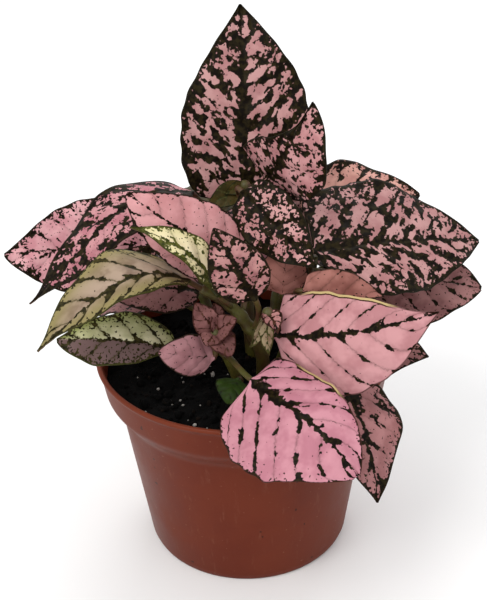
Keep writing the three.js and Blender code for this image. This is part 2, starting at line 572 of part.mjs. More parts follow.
// Adds one named piece with its own material.
function addPiece(name, geometry, color, roughness) {
  geometry.computeVertexNormals();
  const piece = new THREE.Mesh(geometry, new THREE.MeshStandardMaterial({ color, roughness }));
  piece.name = name;
  plant.add(piece);
}

addPiece("pot", potGeometry(), "#9c4a33", 0.5);
addPiece("soil", soilGeometry(), "#1a1512", 0.95);
for (const name of Object.keys(STEMS)) addPiece(name, stemGeometry(name), "#5c6b3a", 0.6);
for (const shoot of SHOOTS) addPiece(shoot.name, shootGeometry(shoot), "#c9919c", 0.55);
for (const leaf of LEAVES) addPiece(leaf.name, leafGeometry(leaf), leaf.color ?? "#d98fa3", 0.55);

export default plant;
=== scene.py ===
"""Looks of a potted polka dot plant: speckled leaves, stems, young shoots, soil and a nursery pot.

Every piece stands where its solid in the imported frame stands. Sizes are millimetres until a mesh is
made, which turns them into metres. The leaf shapes repeat the frame's leaf table and formulas.
"""

from __future__ import annotations

import json
import logging
import math
from dataclasses import dataclass, field, replace
from enum import Enum
from typing import Iterable, Sequence, Union

import bmesh
import bpy
import numpy as np
from mathutils import Matrix, Vector, noise

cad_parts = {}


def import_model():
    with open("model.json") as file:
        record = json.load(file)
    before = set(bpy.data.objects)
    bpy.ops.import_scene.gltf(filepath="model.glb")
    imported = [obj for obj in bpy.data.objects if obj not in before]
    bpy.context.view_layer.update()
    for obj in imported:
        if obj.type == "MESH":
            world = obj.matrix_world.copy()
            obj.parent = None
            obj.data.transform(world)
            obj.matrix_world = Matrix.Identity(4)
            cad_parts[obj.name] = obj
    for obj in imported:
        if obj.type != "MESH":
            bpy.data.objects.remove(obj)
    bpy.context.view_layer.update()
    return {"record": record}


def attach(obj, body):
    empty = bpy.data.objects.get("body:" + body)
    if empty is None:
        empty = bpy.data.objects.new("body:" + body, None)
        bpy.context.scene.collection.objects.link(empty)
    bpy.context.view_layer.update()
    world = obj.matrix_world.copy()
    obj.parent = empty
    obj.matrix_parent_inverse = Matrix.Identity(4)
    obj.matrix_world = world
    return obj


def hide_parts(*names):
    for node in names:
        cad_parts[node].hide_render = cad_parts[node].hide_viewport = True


logging.basicConfig(level=logging.INFO, format="%(message)s")
log = logging.getLogger("polka_dot_plant")

MM = 0.001  # a millimetre in metres
ROOT = "root"
Triple = tuple[float, float, float]
Pair = tuple[float, float]
Socket = bpy.types.NodeSocket
Value = Union[Socket, float, Triple]  # what a shader input takes
Way = Sequence[tuple[np.ndarray, np.ndarray]]  # centres and directions along a stalk

FIT_GAP = 0.3  # kept clear between pieces that meet

# ---------- Stalks of the leaves ----------
PETIOLE_RADIUS = 0.95
PETIOLE_STEPS = 12
STALK_SUNK = 0.45  # how far a stalk starts inside the skin of its stem
STALK_LEAN = 0.6  # how far it leans along the stem as it leaves it

# ---------- Blades ----------
BLADE_THICKNESS = 0.75
MARGIN_THICKNESS = 0.3
TIP_THINNING = 0.4  # share of the thickness that is lost towards the tip
LEAST_THICKNESS = 0.2
MIDRIB_DEPTH = 0.7
MIDRIB_WIDTH = 0.9
WIDEST_POINT = 0.716
BASE_FULLNESS = 0.62
TIP_TAPER = 0.5
MARGIN_WAVES = 2.5
WAVE_OFFSET = 1.9
MARGIN_DROOP = 0.12
BLADE_START = 0.035  # share of the length where the stalk has become the blade
BLADE_END = 0.993
END_CROWDING = 0.45  # how far the rows of points crowd towards both ends
LARGE_LEAF = 44.0  # length from which a leaf is meshed more finely
VEIN_SPACING = 9.5
VEIN_ANGLE = math.radians(42)  # between a side vein and the midrib
VEIN_DEPTH = 0.18  # how deep the side veins lie in the upper side
VEIN_WIDTH = 0.8
PUCKER = 0.5  # how far the blade bulges between them
GROOVE = 0.35  # how deep the midrib lies in it
WANDER = 0.12  # slow unevenness of the surface
FULL_RELIEF = 45.0  # length from which a blade has the whole of this relief
SCALLOP = 0.022  # how far the margin dips at the veins' ends, as a share of the half width
SEED_SHIFT = 90.0  # how far apart two blades read the same noise
FIRST_SHOOT_SEED = 60  # above the seeds of all the leaves

# ---------- Slots of a leaf's materials ----------
UPPER_SLOT = 0
STALK_SLOT = 2
FIRST_LEAF_SLOT = 3


def srgb(red: float, green: float, blue: float) -> Triple:
    """Turns an sRGB colour into a linear one, by the standard curve.

    Args:
        red: Its red, from 0 to 255.
        green: Its green.
        blue: Its blue.

    Returns:
        The linear colour, from 0 to 1.
    """
    shares = (red / 255, green / 255, blue / 255)
    linear = [s / 12.92 if s <= 0.04045 else ((s + 0.055) / 1.055) ** 2.4 for s in shares]
    return (linear[0], linear[1], linear[2])


def unit(vector: np.ndarray) -> np.ndarray:
    """Scales a vector, or each row of an array of them, to length 1."""
    return vector / np.linalg.norm(vector, axis=-1, keepdims=True)


def smooth(low: float, high: float, value: np.ndarray | float) -> np.ndarray:
    """Rises smoothly from 0 at `low` to 1 at `high`."""
    share = np.clip((value - low) / (high - low), 0, 1)
    return share * share * (3 - 2 * share)


# ---------- Finishes ----------


class Painter:
    """Builds one procedural material, node by node."""

    def __init__(self, name: str) -> None:
        """Starts a material.

        Args:
            name: The material's name.
        """
        self.material = bpy.data.materials.new(name)
        self.material.use_nodes = True
        self.tree = self.material.node_tree
        self.tree.nodes.clear()
        self.shader = self.tree.nodes.new("ShaderNodeBsdfPrincipled")
        output = self.tree.nodes.new("ShaderNodeOutputMaterial")
        self.tree.links.new(self.shader.outputs[0], output.inputs[0])

    def put(self, socket: Socket, value: Value) -> None:
        """Links a socket to another one, or sets it to a value.

        Args:
            socket: The input.
            value: The output that feeds it, or the number, colour or vector that it is set to.
        """
        if isinstance(value, Socket):
            self.tree.links.new(value, socket)
        elif isinstance(value, tuple) and len(value) == 3 and socket.type == "RGBA":
            socket.default_value = (*value, 1.0)
        else:
            socket.default_value = value

    def math(self, operation: str, *values: Value) -> Socket:
        """Adds a math node.

        Args:
            operation: What it does, in the node's own words.
            values: Its inputs, in order.

        Returns:
            Its result.
        """
        node = self.tree.nodes.new("ShaderNodeMath")
        node.operation = operation
        for socket, value in zip(node.inputs, values):
            self.put(socket, value)
        return node.outputs[0]

    def layer(self, name: str) -> tuple[Socket, Socket]:
        """Reads the two numbers that a mesh keeps in a named layer.

        Args:
            name: The layer.

        Returns:
            The first number and the second.
        """
        source = self.tree.nodes.new("ShaderNodeUVMap")
        source.uv_map = name
        parts = self.tree.nodes.new("ShaderNodeSeparateXYZ")
        self.put(parts.inputs[0], source.outputs[0])
        return parts.outputs[0], parts.outputs[1]

    def vector(self, x: Value, y: Value, z: Value) -> Socket:
        """Joins three numbers into a vector.

        Args:
            x: The first.
            y: The second.
            z: The third.

        Returns:
            The vector.
        """
        node = self.tree.nodes.new("ShaderNodeCombineXYZ")
        for socket, value in zip(node.inputs, (x, y, z)):
            self.put(socket, value)
        return node.outputs[0]

    def place(self) -> Socket:
        """Returns the point on the piece, in metres."""
        return self.tree.nodes.new("ShaderNodeTexCoord").outputs["Object"]

    def noise(
        self, where: Value, scale: float, detail: float = 2, rough: float = 0.5, swirl: float = 0.0
    ) -> Socket:
        """Adds soft noise about 0.5.

        Args:
            where: The point it is read at.
            scale: Cells to a unit of length.
            detail: Octaves of finer noise.
            rough: How strong each finer octave is.
            swirl: How far the noise is pulled about by itself.

        Returns:
            The noise, as a number.
        """
        node = self.tree.nodes.new("ShaderNodeTexNoise")
        self.put(node.inputs["Vector"], where)
        settings = (("Scale", scale), ("Detail", detail), ("Roughness", rough), ("Distortion", swirl))
        for key, value in settings:
            node.inputs[key].default_value = value
        return node.outputs[0]

    def step(self, value: Value, low: Value, high: Value) -> Socket:
        """Rises smoothly from 0 at `low` to 1 at `high`.

        Args:
            value: The number that is read.
            low: Where the rise starts.
            high: Where it ends.

        Returns:
            The share, from 0 to 1.
        """
        node = self.tree.nodes.new("ShaderNodeMapRange")
        node.interpolation_type = "SMOOTHSTEP"
        for key, given in (("Value", value), ("From Min", low), ("From Max", high)):
            self.put(node.inputs[key], given)
        return node.outputs[0]

    def fade(self, distance: Value, width: Value) -> Socket:
        """Falls from 1 at a distance of 0, to a third at `width`."""
        share = self.math("DIVIDE", distance, width)
        return self.math("EXPONENT", self.math("MULTIPLY", share, -1.0))

    def mix(self, share: Value, first: Value, second: Value) -> Socket:
        """Mixes two colours.

        Args:
            share: How much of the second colour there is, from 0 to 1.
            first: The first colour.
            second: The second.

        Returns:
            The mixed colour.
        """
        node = self.tree.nodes.new("ShaderNodeMix")
        node.data_type = "RGBA"
        for index, value in ((0, share), (6, first), (7, second)):
            self.put(node.inputs[index], value)
        return node.outputs[2]

    def bump(self, height: Value, strength: float, depth: float) -> None:
        """Presses a fine relief into the surface.

        Args:
            height: How high each place stands, from 0 to 1.
            strength: How strongly it shows, from 0 to 1.
            depth: How deep it is, in millimetres.
        """
        node = self.tree.nodes.new("ShaderNodeBump")
        node.inputs["Strength"].default_value = strength
        node.inputs["Distance"].default_value = depth * MM
        self.put(node.inputs["Height"], height)
        self.put(self.shader.inputs["Normal"], node.outputs[0])

    def finish(self, colour: Value, roughness: Value, **fixed: float) -> bpy.types.Material:
        """Sets the shader and returns the material.

        Args:
            colour: The base colour.
            roughness: The roughness.
            fixed: Other shader inputs, with spaces as underscores.

        Returns:
            The finished material.
        """
        self.put(self.shader.inputs["Base Color"], colour)
        self.put(self.shader.inputs["Roughness"], roughness)
        for key, value in fixed.items():
            self.shader.inputs[key.replace("_", " ")].default_value = value
        return self.material


class Side(Enum):
    """The two sides of a blade."""

    UPPER = "upper"
    UNDER = "under"


@dataclass(frozen=True)
class LeafFinish:
    """Colours and markings of one kind of leaf.

    Widths are millimetres. Each of rib, veins, margin and speckle is how strongly it darkens the blade
    and how wide it reaches.
    """

    name: str
    ground: Triple
    deep: Triple
    mark: Triple = srgb(14, 8, 3)
    mark_light: Triple = srgb(38, 31, 13)
    level: float = 0.62  # how much it takes for a place to turn dark: lower means more dark
    soft: float = 0.018
    grain: float = 0.42  # blotches to a millimetre, across the veins
    stretch: float = 0.5  # the same along the veins, as a share of that
    fine: Pair = (0.22, 0.4)  # share of fine grain in the blotches, inside the blade and at its margin
    rib: Pair = (0.5, 1.4)
    veins: Pair = (0.22, 0.7)
    margin: Pair = (0.4, 0.5)
    speckle: Pair = (0.12, 3.0)
    dots: float = 0.7  # how much it takes for a small dark dot: lower means more of them
    line: float = 0.3  # how clearly the side veins are drawn in the pale ground
    rim: Triple = srgb(40, 28, 18)
    rim_width: float = 0.42
    rolled_margin_and_highlight: Triple | None = None  # colour of a left margin that is turned over, partly its own paler colour and partly a painted highlight
    fold_end: float = 0.6  # share of the length where that ends
    edge_ground: Triple | None = None  # ground near the margin, where it differs
    second: Triple | None = None  # ground of the left half, where it differs

    UNDERSIDE = srgb(128, 98, 84)
    UNDERSIDE_SHARE = 0.45  # how far the under side takes that colour
    RIB_WANDER = 2.6  # how far the midrib's dark band wanders, in millimetres
    RIB_END = 1.12  # share of the length at which that band would run out
    VEIN_WANDER = 0.3  # how far a side vein wanders, as a share of their spacing
    VEIN_BOOST = 1.6  # how much darker a side vein is where it shows most
    VEIN_LINE = 0.28  # width of a side vein's line in the pale ground
    EDGE_REACH = 4.5  # how far the other colour reaches in from the margin
    HALF_SHIFT = 40.0  # how far apart the two halves read the same noise

    def material(self, side: Side) -> bpy.types.Material:
        """Makes the material of one side of the blade.

        Args:
            side: The upper or the under side.

        Returns:
            The material, which reads the mesh layers "blade", "rib" and "span".
        """
        name = f"{self.name}_{side.value}"
        known = bpy.data.materials.get(name)
        if known:
            return known
        paint = Painter(name)
        along, across = paint.layer("blade")
        phase, margin = paint.layer("rib")
        share, _ = paint.layer("span")
        aside = paint.math("ABSOLUTE", across)
        flat = paint.vector(along, across, 0.0)
        jag = paint.math("SUBTRACT", paint.noise(flat, scale=0.75, detail=3, rough=0.6), 0.5)
        to_vein = self.vein_distance(paint, phase, jag)
        to_rib = paint.math("MAXIMUM", paint.math("MULTIPLY_ADD", jag, self.RIB_WANDER, aside), 0.0)
        rib_width = paint.math("MULTIPLY", paint.math("SUBTRACT", self.RIB_END, share), self.rib[1])
        dark = self.blotches(paint, along, across, flat, margin)
        patchy = paint.step(paint.noise(flat, scale=0.22, detail=1), 0.3, 0.7)
        vary = paint.math("MULTIPLY", patchy, self.veins[0] * self.VEIN_BOOST)
        dark = paint.math("MULTIPLY_ADD", paint.fade(to_vein, self.veins[1]), vary, dark)
        dark = paint.math("MULTIPLY_ADD", paint.fade(to_rib, rib_width), self.rib[0], dark)
        dark = paint.math("MULTIPLY_ADD", paint.fade(margin, self.margin[1]), self.margin[0], dark)
        blotch = paint.step(dark, self.level - self.soft, self.level + self.soft)
        fine = paint.noise(flat, scale=0.95, detail=1)
        fine = paint.math("MULTIPLY_ADD", paint.fade(margin, self.speckle[1]), self.speckle[0], fine)
        blotch = paint.math("MAXIMUM", blotch, paint.step(fine, self.dots, self.dots + 0.03))
        ground = self.ground_colour(paint, flat, across, margin, to_vein)
        worn = paint.step(paint.noise(flat, scale=0.5, detail=2, rough=0.6), 0.4, 0.65)
        mark = paint.mix(worn, self.mark, self.mark_light)
        colour = paint.mix(blotch, ground, mark)
        edge = paint.math("SUBTRACT", 1.0, paint.step(margin, self.rim_width * 0.5, self.rim_width * 1.5))
        colour = paint.mix(paint.math("MULTIPLY", edge, 0.8), colour, self.rim)
        if self.rolled_margin_and_highlight:
            colour = self.folded_margin(paint, colour, share, across, margin, jag)
        if side is Side.UNDER:
            colour = paint.mix(self.UNDERSIDE_SHARE, colour, self.UNDERSIDE)
        cells = paint.noise(flat, scale=2.2, detail=3, rough=0.6)
        paint.bump(cells, strength=0.4, depth=0.14)
        rough = paint.math("MULTIPLY_ADD", cells, 0.2, 0.36)
        return paint.finish(colour, rough, Specular_IOR_Level=0.07)

    def both_sides(self) -> list[bpy.types.Material]:
        """Returns the materials of the upper and the under side."""
        return [self.material(side) for side in Side]

    def vein_distance(self, paint: Painter, phase: Value, jag: Value) -> Socket:
        """Measures how far it is to the nearest side vein.

        Args:
            paint: The material in the making.
            phase: The number of the vein, whole on a vein.
            jag: Noise about 0 that makes the veins wander.

        Returns:
            The distance in millimetres.
        """
        wobble = paint.math("MULTIPLY_ADD", jag, self.VEIN_WANDER, phase)
        part = paint.math("FRACT", paint.math("ADD", wobble, 0.5))
        nearest = paint.math("ABSOLUTE", paint.math("SUBTRACT", part, 0.5))
        return paint.math("MULTIPLY", nearest, VEIN_SPACING * math.sin(VEIN_ANGLE))

    def blotches(
        self, paint: Painter, along: Value, across: Value, flat: Value, margin: Value
    ) -> Socket:
        """Makes the dark blotches, which lean with the side veins and are finer at the margin.

        Args:
            paint: The material in the making.
            along: Millimetres along the blade.
            across: Millimetres across it, to the left.
            flat: The two as one point.
            margin: Millimetres to the margin.

        Returns:
            Noise about 0.5.
        """
        aside = paint.math("ABSOLUTE", across)
        lean = (math.sin(VEIN_ANGLE), math.cos(VEIN_ANGLE))
        over = paint.math("MULTIPLY_ADD", aside, -lean[1], paint.math("MULTIPLY", along, lean[0]))
        with_veins = paint.math("MULTIPLY_ADD", aside, lean[0], paint.math("MULTIPLY", along, lean[1]))
        half = paint.math("MULTIPLY", paint.math("GREATER_THAN", across, 0.0), self.HALF_SHIFT)
        spot = paint.vector(over, paint.math("MULTIPLY", with_veins, self.stretch), half)
        broad = paint.noise(spot, scale=self.grain, detail=1, swirl=0.3)
        grains = paint.noise(flat, scale=0.8, detail=1, swirl=0.4)
        near = paint.fade(margin, self.speckle[1])
        amount = paint.math("MULTIPLY_ADD", near, self.fine[1], self.fine[0])
        return paint.math("MULTIPLY_ADD", paint.math("SUBTRACT", grains, broad), amount, broad)

    def ground_colour(
        self, paint: Painter, flat: Value, across: Value, margin: Value, to_vein: Value
    ) -> Socket:
        """Makes the pale ground: clouded, with its side veins drawn in.

        Args:
            paint: The material in the making.
            flat: The point on the blade.
            across: Millimetres across it, to the left.
            margin: Millimetres to the margin.
            to_vein: Millimetres to the nearest side vein.

        Returns:
            Its colour.
        """
        cloud = paint.step(paint.noise(flat, scale=0.11, detail=3, rough=0.6), 0.38, 0.62)
        ground = paint.mix(cloud, self.ground, self.deep)
        if self.edge_ground:
            near = paint.math("MULTIPLY", paint.fade(margin, self.EDGE_REACH), 1.4)
            ground = paint.mix(near, ground, self.edge_ground)
        if self.second:
            ground = paint.mix(paint.step(across, -0.3, 0.3), ground, self.second)
        drawn = paint.math("MULTIPLY", paint.fade(to_vein, self.VEIN_LINE), self.line)
        return paint.mix(drawn, ground, self.mark_light)

    def folded_margin(
        self, paint: Painter, colour: Value, share: Value, across: Value, margin: Value, jag: Value
    ) -> Socket:
        """Paints the left margin's turned-over edge over the blade as a pale band, partly its own paler
        colour and partly a painted highlight, with a painted shadow line inside it.

        Args:
            paint: The material in the making.
            colour: The colour of the blade.
            share: Share of the blade's length.
            across: Millimetres across it, to the left.
            margin: Millimetres to the margin.
            jag: Noise about 0 that makes the edge uneven.

        Returns:
            The colour with the edge.
        """
        starts = paint.step(share, 0.14, 0.24)
        left = paint.math("MULTIPLY", paint.math("GREATER_THAN", across, 0.0), starts)
        ends = paint.math("SUBTRACT", 1.0, paint.step(share, self.fold_end - 0.1, self.fold_end))
        left = paint.math("MULTIPLY", left, ends)
        width = paint.math("MULTIPLY_ADD", jag, 0.4, 0.6)
        # painted shadow line just inside the turned edge, then the edge itself with its painted highlight
        shade = paint.math("MULTIPLY", left, paint.math("LESS_THAN", margin, paint.math("ADD", width, 0.42)))
        over = paint.math("MULTIPLY", left, paint.math("LESS_THAN", margin, width))
        colour = paint.mix(shade, colour, self.rim)
        return paint.mix(over, colour, self.rolled_margin_and_highlight)


@dataclass(frozen=True)
class StalkFinish:
    """Skin of a stem or stalk, streaked along its length."""

    name: str
    skin: Triple
    blush: Triple

    def material(self) -> bpy.types.Material:
        """Makes the material, or finds the one already made.

        Returns:
            The material.
        """
        known = bpy.data.materials.get(self.name)
        if known:
            return known
        paint = Painter(self.name)
        place = paint.place()
        blush = paint.step(paint.noise(place, scale=110, detail=3, rough=0.6), 0.36, 0.64)
        fine = paint.noise(place, scale=1400, detail=2, rough=0.6)
        colour = paint.mix(blush, self.skin, self.blush)
        shade = tuple(0.45 * c for c in self.skin)
        colour = paint.mix(paint.math("MULTIPLY", paint.step(fine, 0.5, 0.75), 0.5), colour, shade)
        paint.bump(fine, strength=0.4, depth=0.1)
        return paint.finish(colour, paint.math("MULTIPLY_ADD", fine, 0.2, 0.38), Specular_IOR_Level=0.3)


@dataclass(frozen=True)
class PlasticFinish:
    """Moulded plastic of the pot, with a little dust and wear, and a painted highlight along its lip."""

    name: str = "pot_terracotta_plastic"
    body: Triple = srgb(94, 35, 17)
    pale: Triple = srgb(110, 49, 29)
    dust: Triple = srgb(150, 108, 88)
    speck: Triple = srgb(50, 24, 16)
    edge: Pair = (2.2, 0.6)  # how far under the lip the painted highlight begins, and is full

    def material(self, top: float) -> bpy.types.Material:
        """Makes the material.

        Args:
            top: Height of the lip, which takes a painted highlight, in millimetres.

        Returns:
            The material.
        """
        paint = Painter(self.name)
        place = paint.place()
        parts = paint.tree.nodes.new("ShaderNodeSeparateXYZ")
        paint.put(parts.inputs[0], place)
        height = parts.outputs[2]
        cloud = paint.step(paint.noise(place, scale=38, detail=4, rough=0.62), 0.35, 0.68)
        colour = paint.mix(paint.math("MULTIPLY", cloud, 0.45), self.body, self.pale)
        # painted highlight: the rounded lip is drawn paler all round
        lip = paint.step(height, (top - self.edge[0]) * MM, (top - self.edge[1]) * MM)
        colour = paint.mix(paint.math("MULTIPLY", lip, 0.7), colour, self.pale)
        upright = paint.math("MULTIPLY", height, 0.18)
        squashed = paint.vector(parts.outputs[0], parts.outputs[1], upright)
        streak = paint.step(paint.noise(squashed, scale=420, detail=3, rough=0.7), 0.56, 0.8)
        colour = paint.mix(paint.math("MULTIPLY", streak, 0.16), colour, self.dust)
        scuff = paint.step(paint.noise(place, scale=900), 0.72, 0.76)
        colour = paint.mix(paint.math("MULTIPLY", scuff, 0.5), colour, self.dust)
        spot = paint.step(paint.noise(place, scale=330, detail=1, rough=0.4), 0.765, 0.785)
        colour = paint.mix(paint.math("MULTIPLY", spot, 0.85), colour, self.speck)
        paint.bump(paint.noise(place, scale=2600), strength=0.25, depth=0.04)
        rough = paint.math("MULTIPLY_ADD", cloud, 0.14, 0.36)
        return paint.finish(colour, rough, Specular_IOR_Level=0.11)


@dataclass(frozen=True)
class GrainFinish:
    """A rough mineral or earthy surface in two colours."""

    name: str
    dark: Triple
    light: Triple
    scale: float = 900.0  # grains to a metre
    depth: float = 0.4

    def material(self) -> bpy.types.Material:
        """Makes the material.

        Returns:
            The material.
        """
        paint = Painter(self.name)
        place = paint.place()
        grain = paint.noise(place, scale=self.scale, detail=4, rough=0.7)
        broad = paint.noise(place, scale=self.scale * 0.12, detail=3, rough=0.6)
        share = paint.math("MULTIPLY", paint.step(grain, 0.42, 0.72), paint.step(broad, 0.3, 0.7))
        paint.bump(grain, strength=0.8, depth=self.depth)
        colour = paint.mix(share, self.dark, self.light)
        rough = paint.math("MULTIPLY_ADD", grain, 0.15, 0.8)
        return paint.finish(colour, rough, Specular_IOR_Level=0.1)


@dataclass(frozen=True)
class FloorFinish:
    """Pale studio floor."""

    name: str = "studio_floor"
    pale: Triple = (0.9, 0.9, 0.9)
    shade: Triple = (0.87, 0.87, 0.875)

    def material(self) -> bpy.types.Material:
        """Makes the material.

        Returns:
            The material.
        """
        paint = Painter(self.name)
        cloud = paint.noise(paint.place(), scale=3)
        return paint.finish(paint.mix(cloud, self.pale, self.shade), roughness=0.9)


STEM_SKIN = StalkFinish("stem_skin", srgb(78, 76, 26), srgb(66, 48, 24))
PETIOLE_SKIN = StalkFinish("petiole_skin", srgb(72, 70, 26), srgb(84, 50, 36))
SHOOT_SKIN = StalkFinish("shoot_skin", srgb(80, 80, 42), srgb(98, 62, 56))

CROWN_DARK = LeafFinish(
    "crown_dark", ground=srgb(186, 141, 139), deep=srgb(168, 119, 119), level=0.545, rib=(0.22, 1.8),
    veins=(0.14, 1.5), margin=(0.2, 1.6), speckle=(0.06, 4.0), line=0.1, rim=srgb(26, 24, 12),
    rim_width=0.5,
)
BROAD_DARK = replace(CROWN_DARK, name="broad_dark", level=0.553, fine=(0.26, 0.42), rib=(0.2, 1.8))
CROWN_SPECKLED = replace(
    CROWN_DARK, name="crown_speckled", ground=srgb(196, 146, 146), deep=srgb(176, 122, 124), level=0.58,
    grain=0.62, fine=(0.3, 0.4), stretch=0.62,
)
CROWN_HANGING = replace(
    CROWN_SPECKLED, name="crown_hanging", ground=srgb(200, 152, 150), deep=srgb(176, 124, 124), level=0.56,
    grain=0.85, fine=(0.3, 0.4), stretch=0.85,
)
FAR_PINK = LeafFinish(
    "far_pink", ground=srgb(222, 168, 172), deep=srgb(200, 138, 146), level=0.66, grain=0.46,
    margin=(0.25, 2.0), veins=(0.18, 0.8), rib=(0.2, 1.0), speckle=(0.16, 6.0), line=0.3,
)
SPECKLED_PINK = replace(
    FAR_PINK, name="speckled_pink", ground=srgb(192, 138, 142), deep=srgb(172, 108, 118), level=0.56
)
PEACH_SPECKLED = replace(
    FAR_PINK, name="peach_speckled", ground=srgb(204, 154, 142), deep=srgb(184, 130, 122), level=0.625,
    speckle=(0.2, 4.0),
)
VEINED_PINK = LeafFinish(
    "veined_pink", ground=srgb(198, 138, 150), deep=srgb(180, 118, 132), level=0.75, rib=(0.5, 1.6),
    veins=(0.42, 0.8), margin=(0.3, 0.8), speckle=(0.16, 4.0), dots=0.76, line=0.45, rim=srgb(60, 34, 26),
    rolled_margin_and_highlight=srgb(190, 168, 118),
)
VEINED_SOFT = replace(
    VEINED_PINK, name="veined_soft", ground=srgb(198, 145, 148), deep=srgb(176, 122, 126), level=0.79,
    rib=(0.52, 1.5), veins=(0.34, 0.7), margin=(0.2, 0.6), speckle=(0.04, 4.0), fold_end=0.8,
)
CENTRE_PINK = replace(
    VEINED_PINK, name="centre_pink", ground=srgb(186, 136, 133), deep=srgb(148, 98, 100), level=0.59,
    grain=0.8, fine=(0.3, 0.4), stretch=0.62, rib=(0.46, 1.1), veins=(0.3, 0.6), margin=(0.2, 1.2),
    speckle=(0.12, 3.0), line=0.8, rim=srgb(34, 26, 14), rolled_margin_and_highlight=None,
)
PLAIN_PINK = LeafFinish(
    "plain_pink", ground=srgb(212, 155, 157), deep=srgb(196, 136, 138), level=0.86, rib=(0.36, 0.8),
    veins=(0.22, 0.35), margin=(0.5, 0.7), speckle=(0.06, 2.0), line=0.4,
)
UPPER_PINK = replace(PLAIN_PINK, name="upper_pink", level=0.8, rib=(0.6, 0.9), veins=(0.26, 0.5))
SMALL_PINK = replace(PLAIN_PINK, name="small_pink", ground=srgb(166, 120, 124), deep=srgb(142, 98, 102))
# darker pink for leaves that lie under others: painted shade
SHADED_PINK = LeafFinish(
    "shaded_pink", ground=srgb(156, 112, 110), deep=srgb(128, 86, 86), level=0.66, grain=0.36, rib=(0.36, 1.1),
    veins=(0.18, 0.6), margin=(0.3, 1.0), speckle=(0.14, 4.0), line=0.3,
)
# darker copy of the plain pink for inner leaves under others: painted shade
SHADED_INNER_PINK = replace(
    PLAIN_PINK, name="shaded_inner_pink", ground=srgb(166, 112, 103), deep=srgb(136, 86, 78), rib=(0.3, 0.5)
)
SHADED_SPECKLED = replace(
    SHADED_PINK, name="shaded_speckled", ground=srgb(170, 120, 120), deep=srgb(146, 98, 98), level=0.6
)
CREAM_VEINED = LeafFinish(
    "cream_veined", ground=srgb(168, 146, 130), deep=srgb(124, 102, 90), mark=srgb(30, 26, 10),
    mark_light=srgb(60, 54, 26), level=0.75, rib=(0.54, 1.0), veins=(0.58, 0.55), margin=(0.36, 1.2),
    speckle=(0.26, 2.2), dots=0.76, line=1.0, rim=srgb(60, 60, 24), rim_width=0.4,
    edge_ground=srgb(138, 126, 84),
)
CREAM_YELLOW = replace(
    CREAM_VEINED, name="cream_yellow", ground=srgb(240, 224, 192), deep=srgb(220, 202, 166), level=0.715,
    mark=srgb(48, 54, 18), mark_light=srgb(92, 94, 40), veins=(0.2, 0.6), margin=(0.3, 2.0),
    speckle=(0.26, 2.6), dots=0.7, line=0.6, edge_ground=srgb(216, 206, 158),
)
GREEN_CREAM = replace(
    CREAM_VEINED, name="green_cream", ground=srgb(232, 224, 190), deep=srgb(188, 186, 146), level=0.74,
    rib=(0.4, 1.0), veins=(0.34, 0.5), margin=(0.3, 1.6), speckle=(0.22, 4.0), dots=0.68,
    second=srgb(108, 86, 84), edge_ground=srgb(136, 142, 84),
)
PLAIN_GREEN = LeafFinish(
    "plain_green", ground=srgb(44, 62, 20), deep=srgb(32, 46, 14), mark=srgb(18, 28, 8), level=0.75,
    rib=(0.1, 0.8), dots=0.8, line=0.5, rim=srgb(26, 36, 12),
)
OLIVE = replace(PLAIN_GREEN, name="olive_green", ground=srgb(70, 60, 26), deep=srgb(46, 38, 16))
YOUNG_PINK = LeafFinish(
    "young_pink", ground=srgb(130, 88, 86), deep=srgb(98, 62, 60), mark=srgb(46, 22, 18),
    mark_light=srgb(74, 46, 32), level=0.7, grain=0.7, rib=(0.4, 0.5), veins=(0.3, 0.35), margin=(0.5, 0.4),
    speckle=(0.12, 1.5), line=0.4, rim=srgb(60, 30, 26), rim_width=0.3,
)
YOUNG_SPECKLED = replace(
    YOUNG_PINK, name="young_speckled", ground=srgb(178, 126, 124), deep=srgb(142, 94, 92), level=0.6,
    mark=srgb(24, 14, 8), veins=(0.4, 0.4),
)
YOUNG_CREAM = replace(
    YOUNG_PINK, name="young_cream", ground=srgb(150, 134, 106), deep=srgb(122, 96, 78), mark=srgb(44, 46, 20),
    mark_light=srgb(80, 78, 40), rim=srgb(66, 60, 30),
)
YOUNG_GREEN = replace(
    YOUNG_CREAM, name="young_green", ground=srgb(72, 60, 28), deep=srgb(44, 40, 14), rim=srgb(34, 30, 12)
)


# ---------- Meshes ----------

FAR_INSIDE = 9.0  # the distance to a margin that is kept where a mesh has none


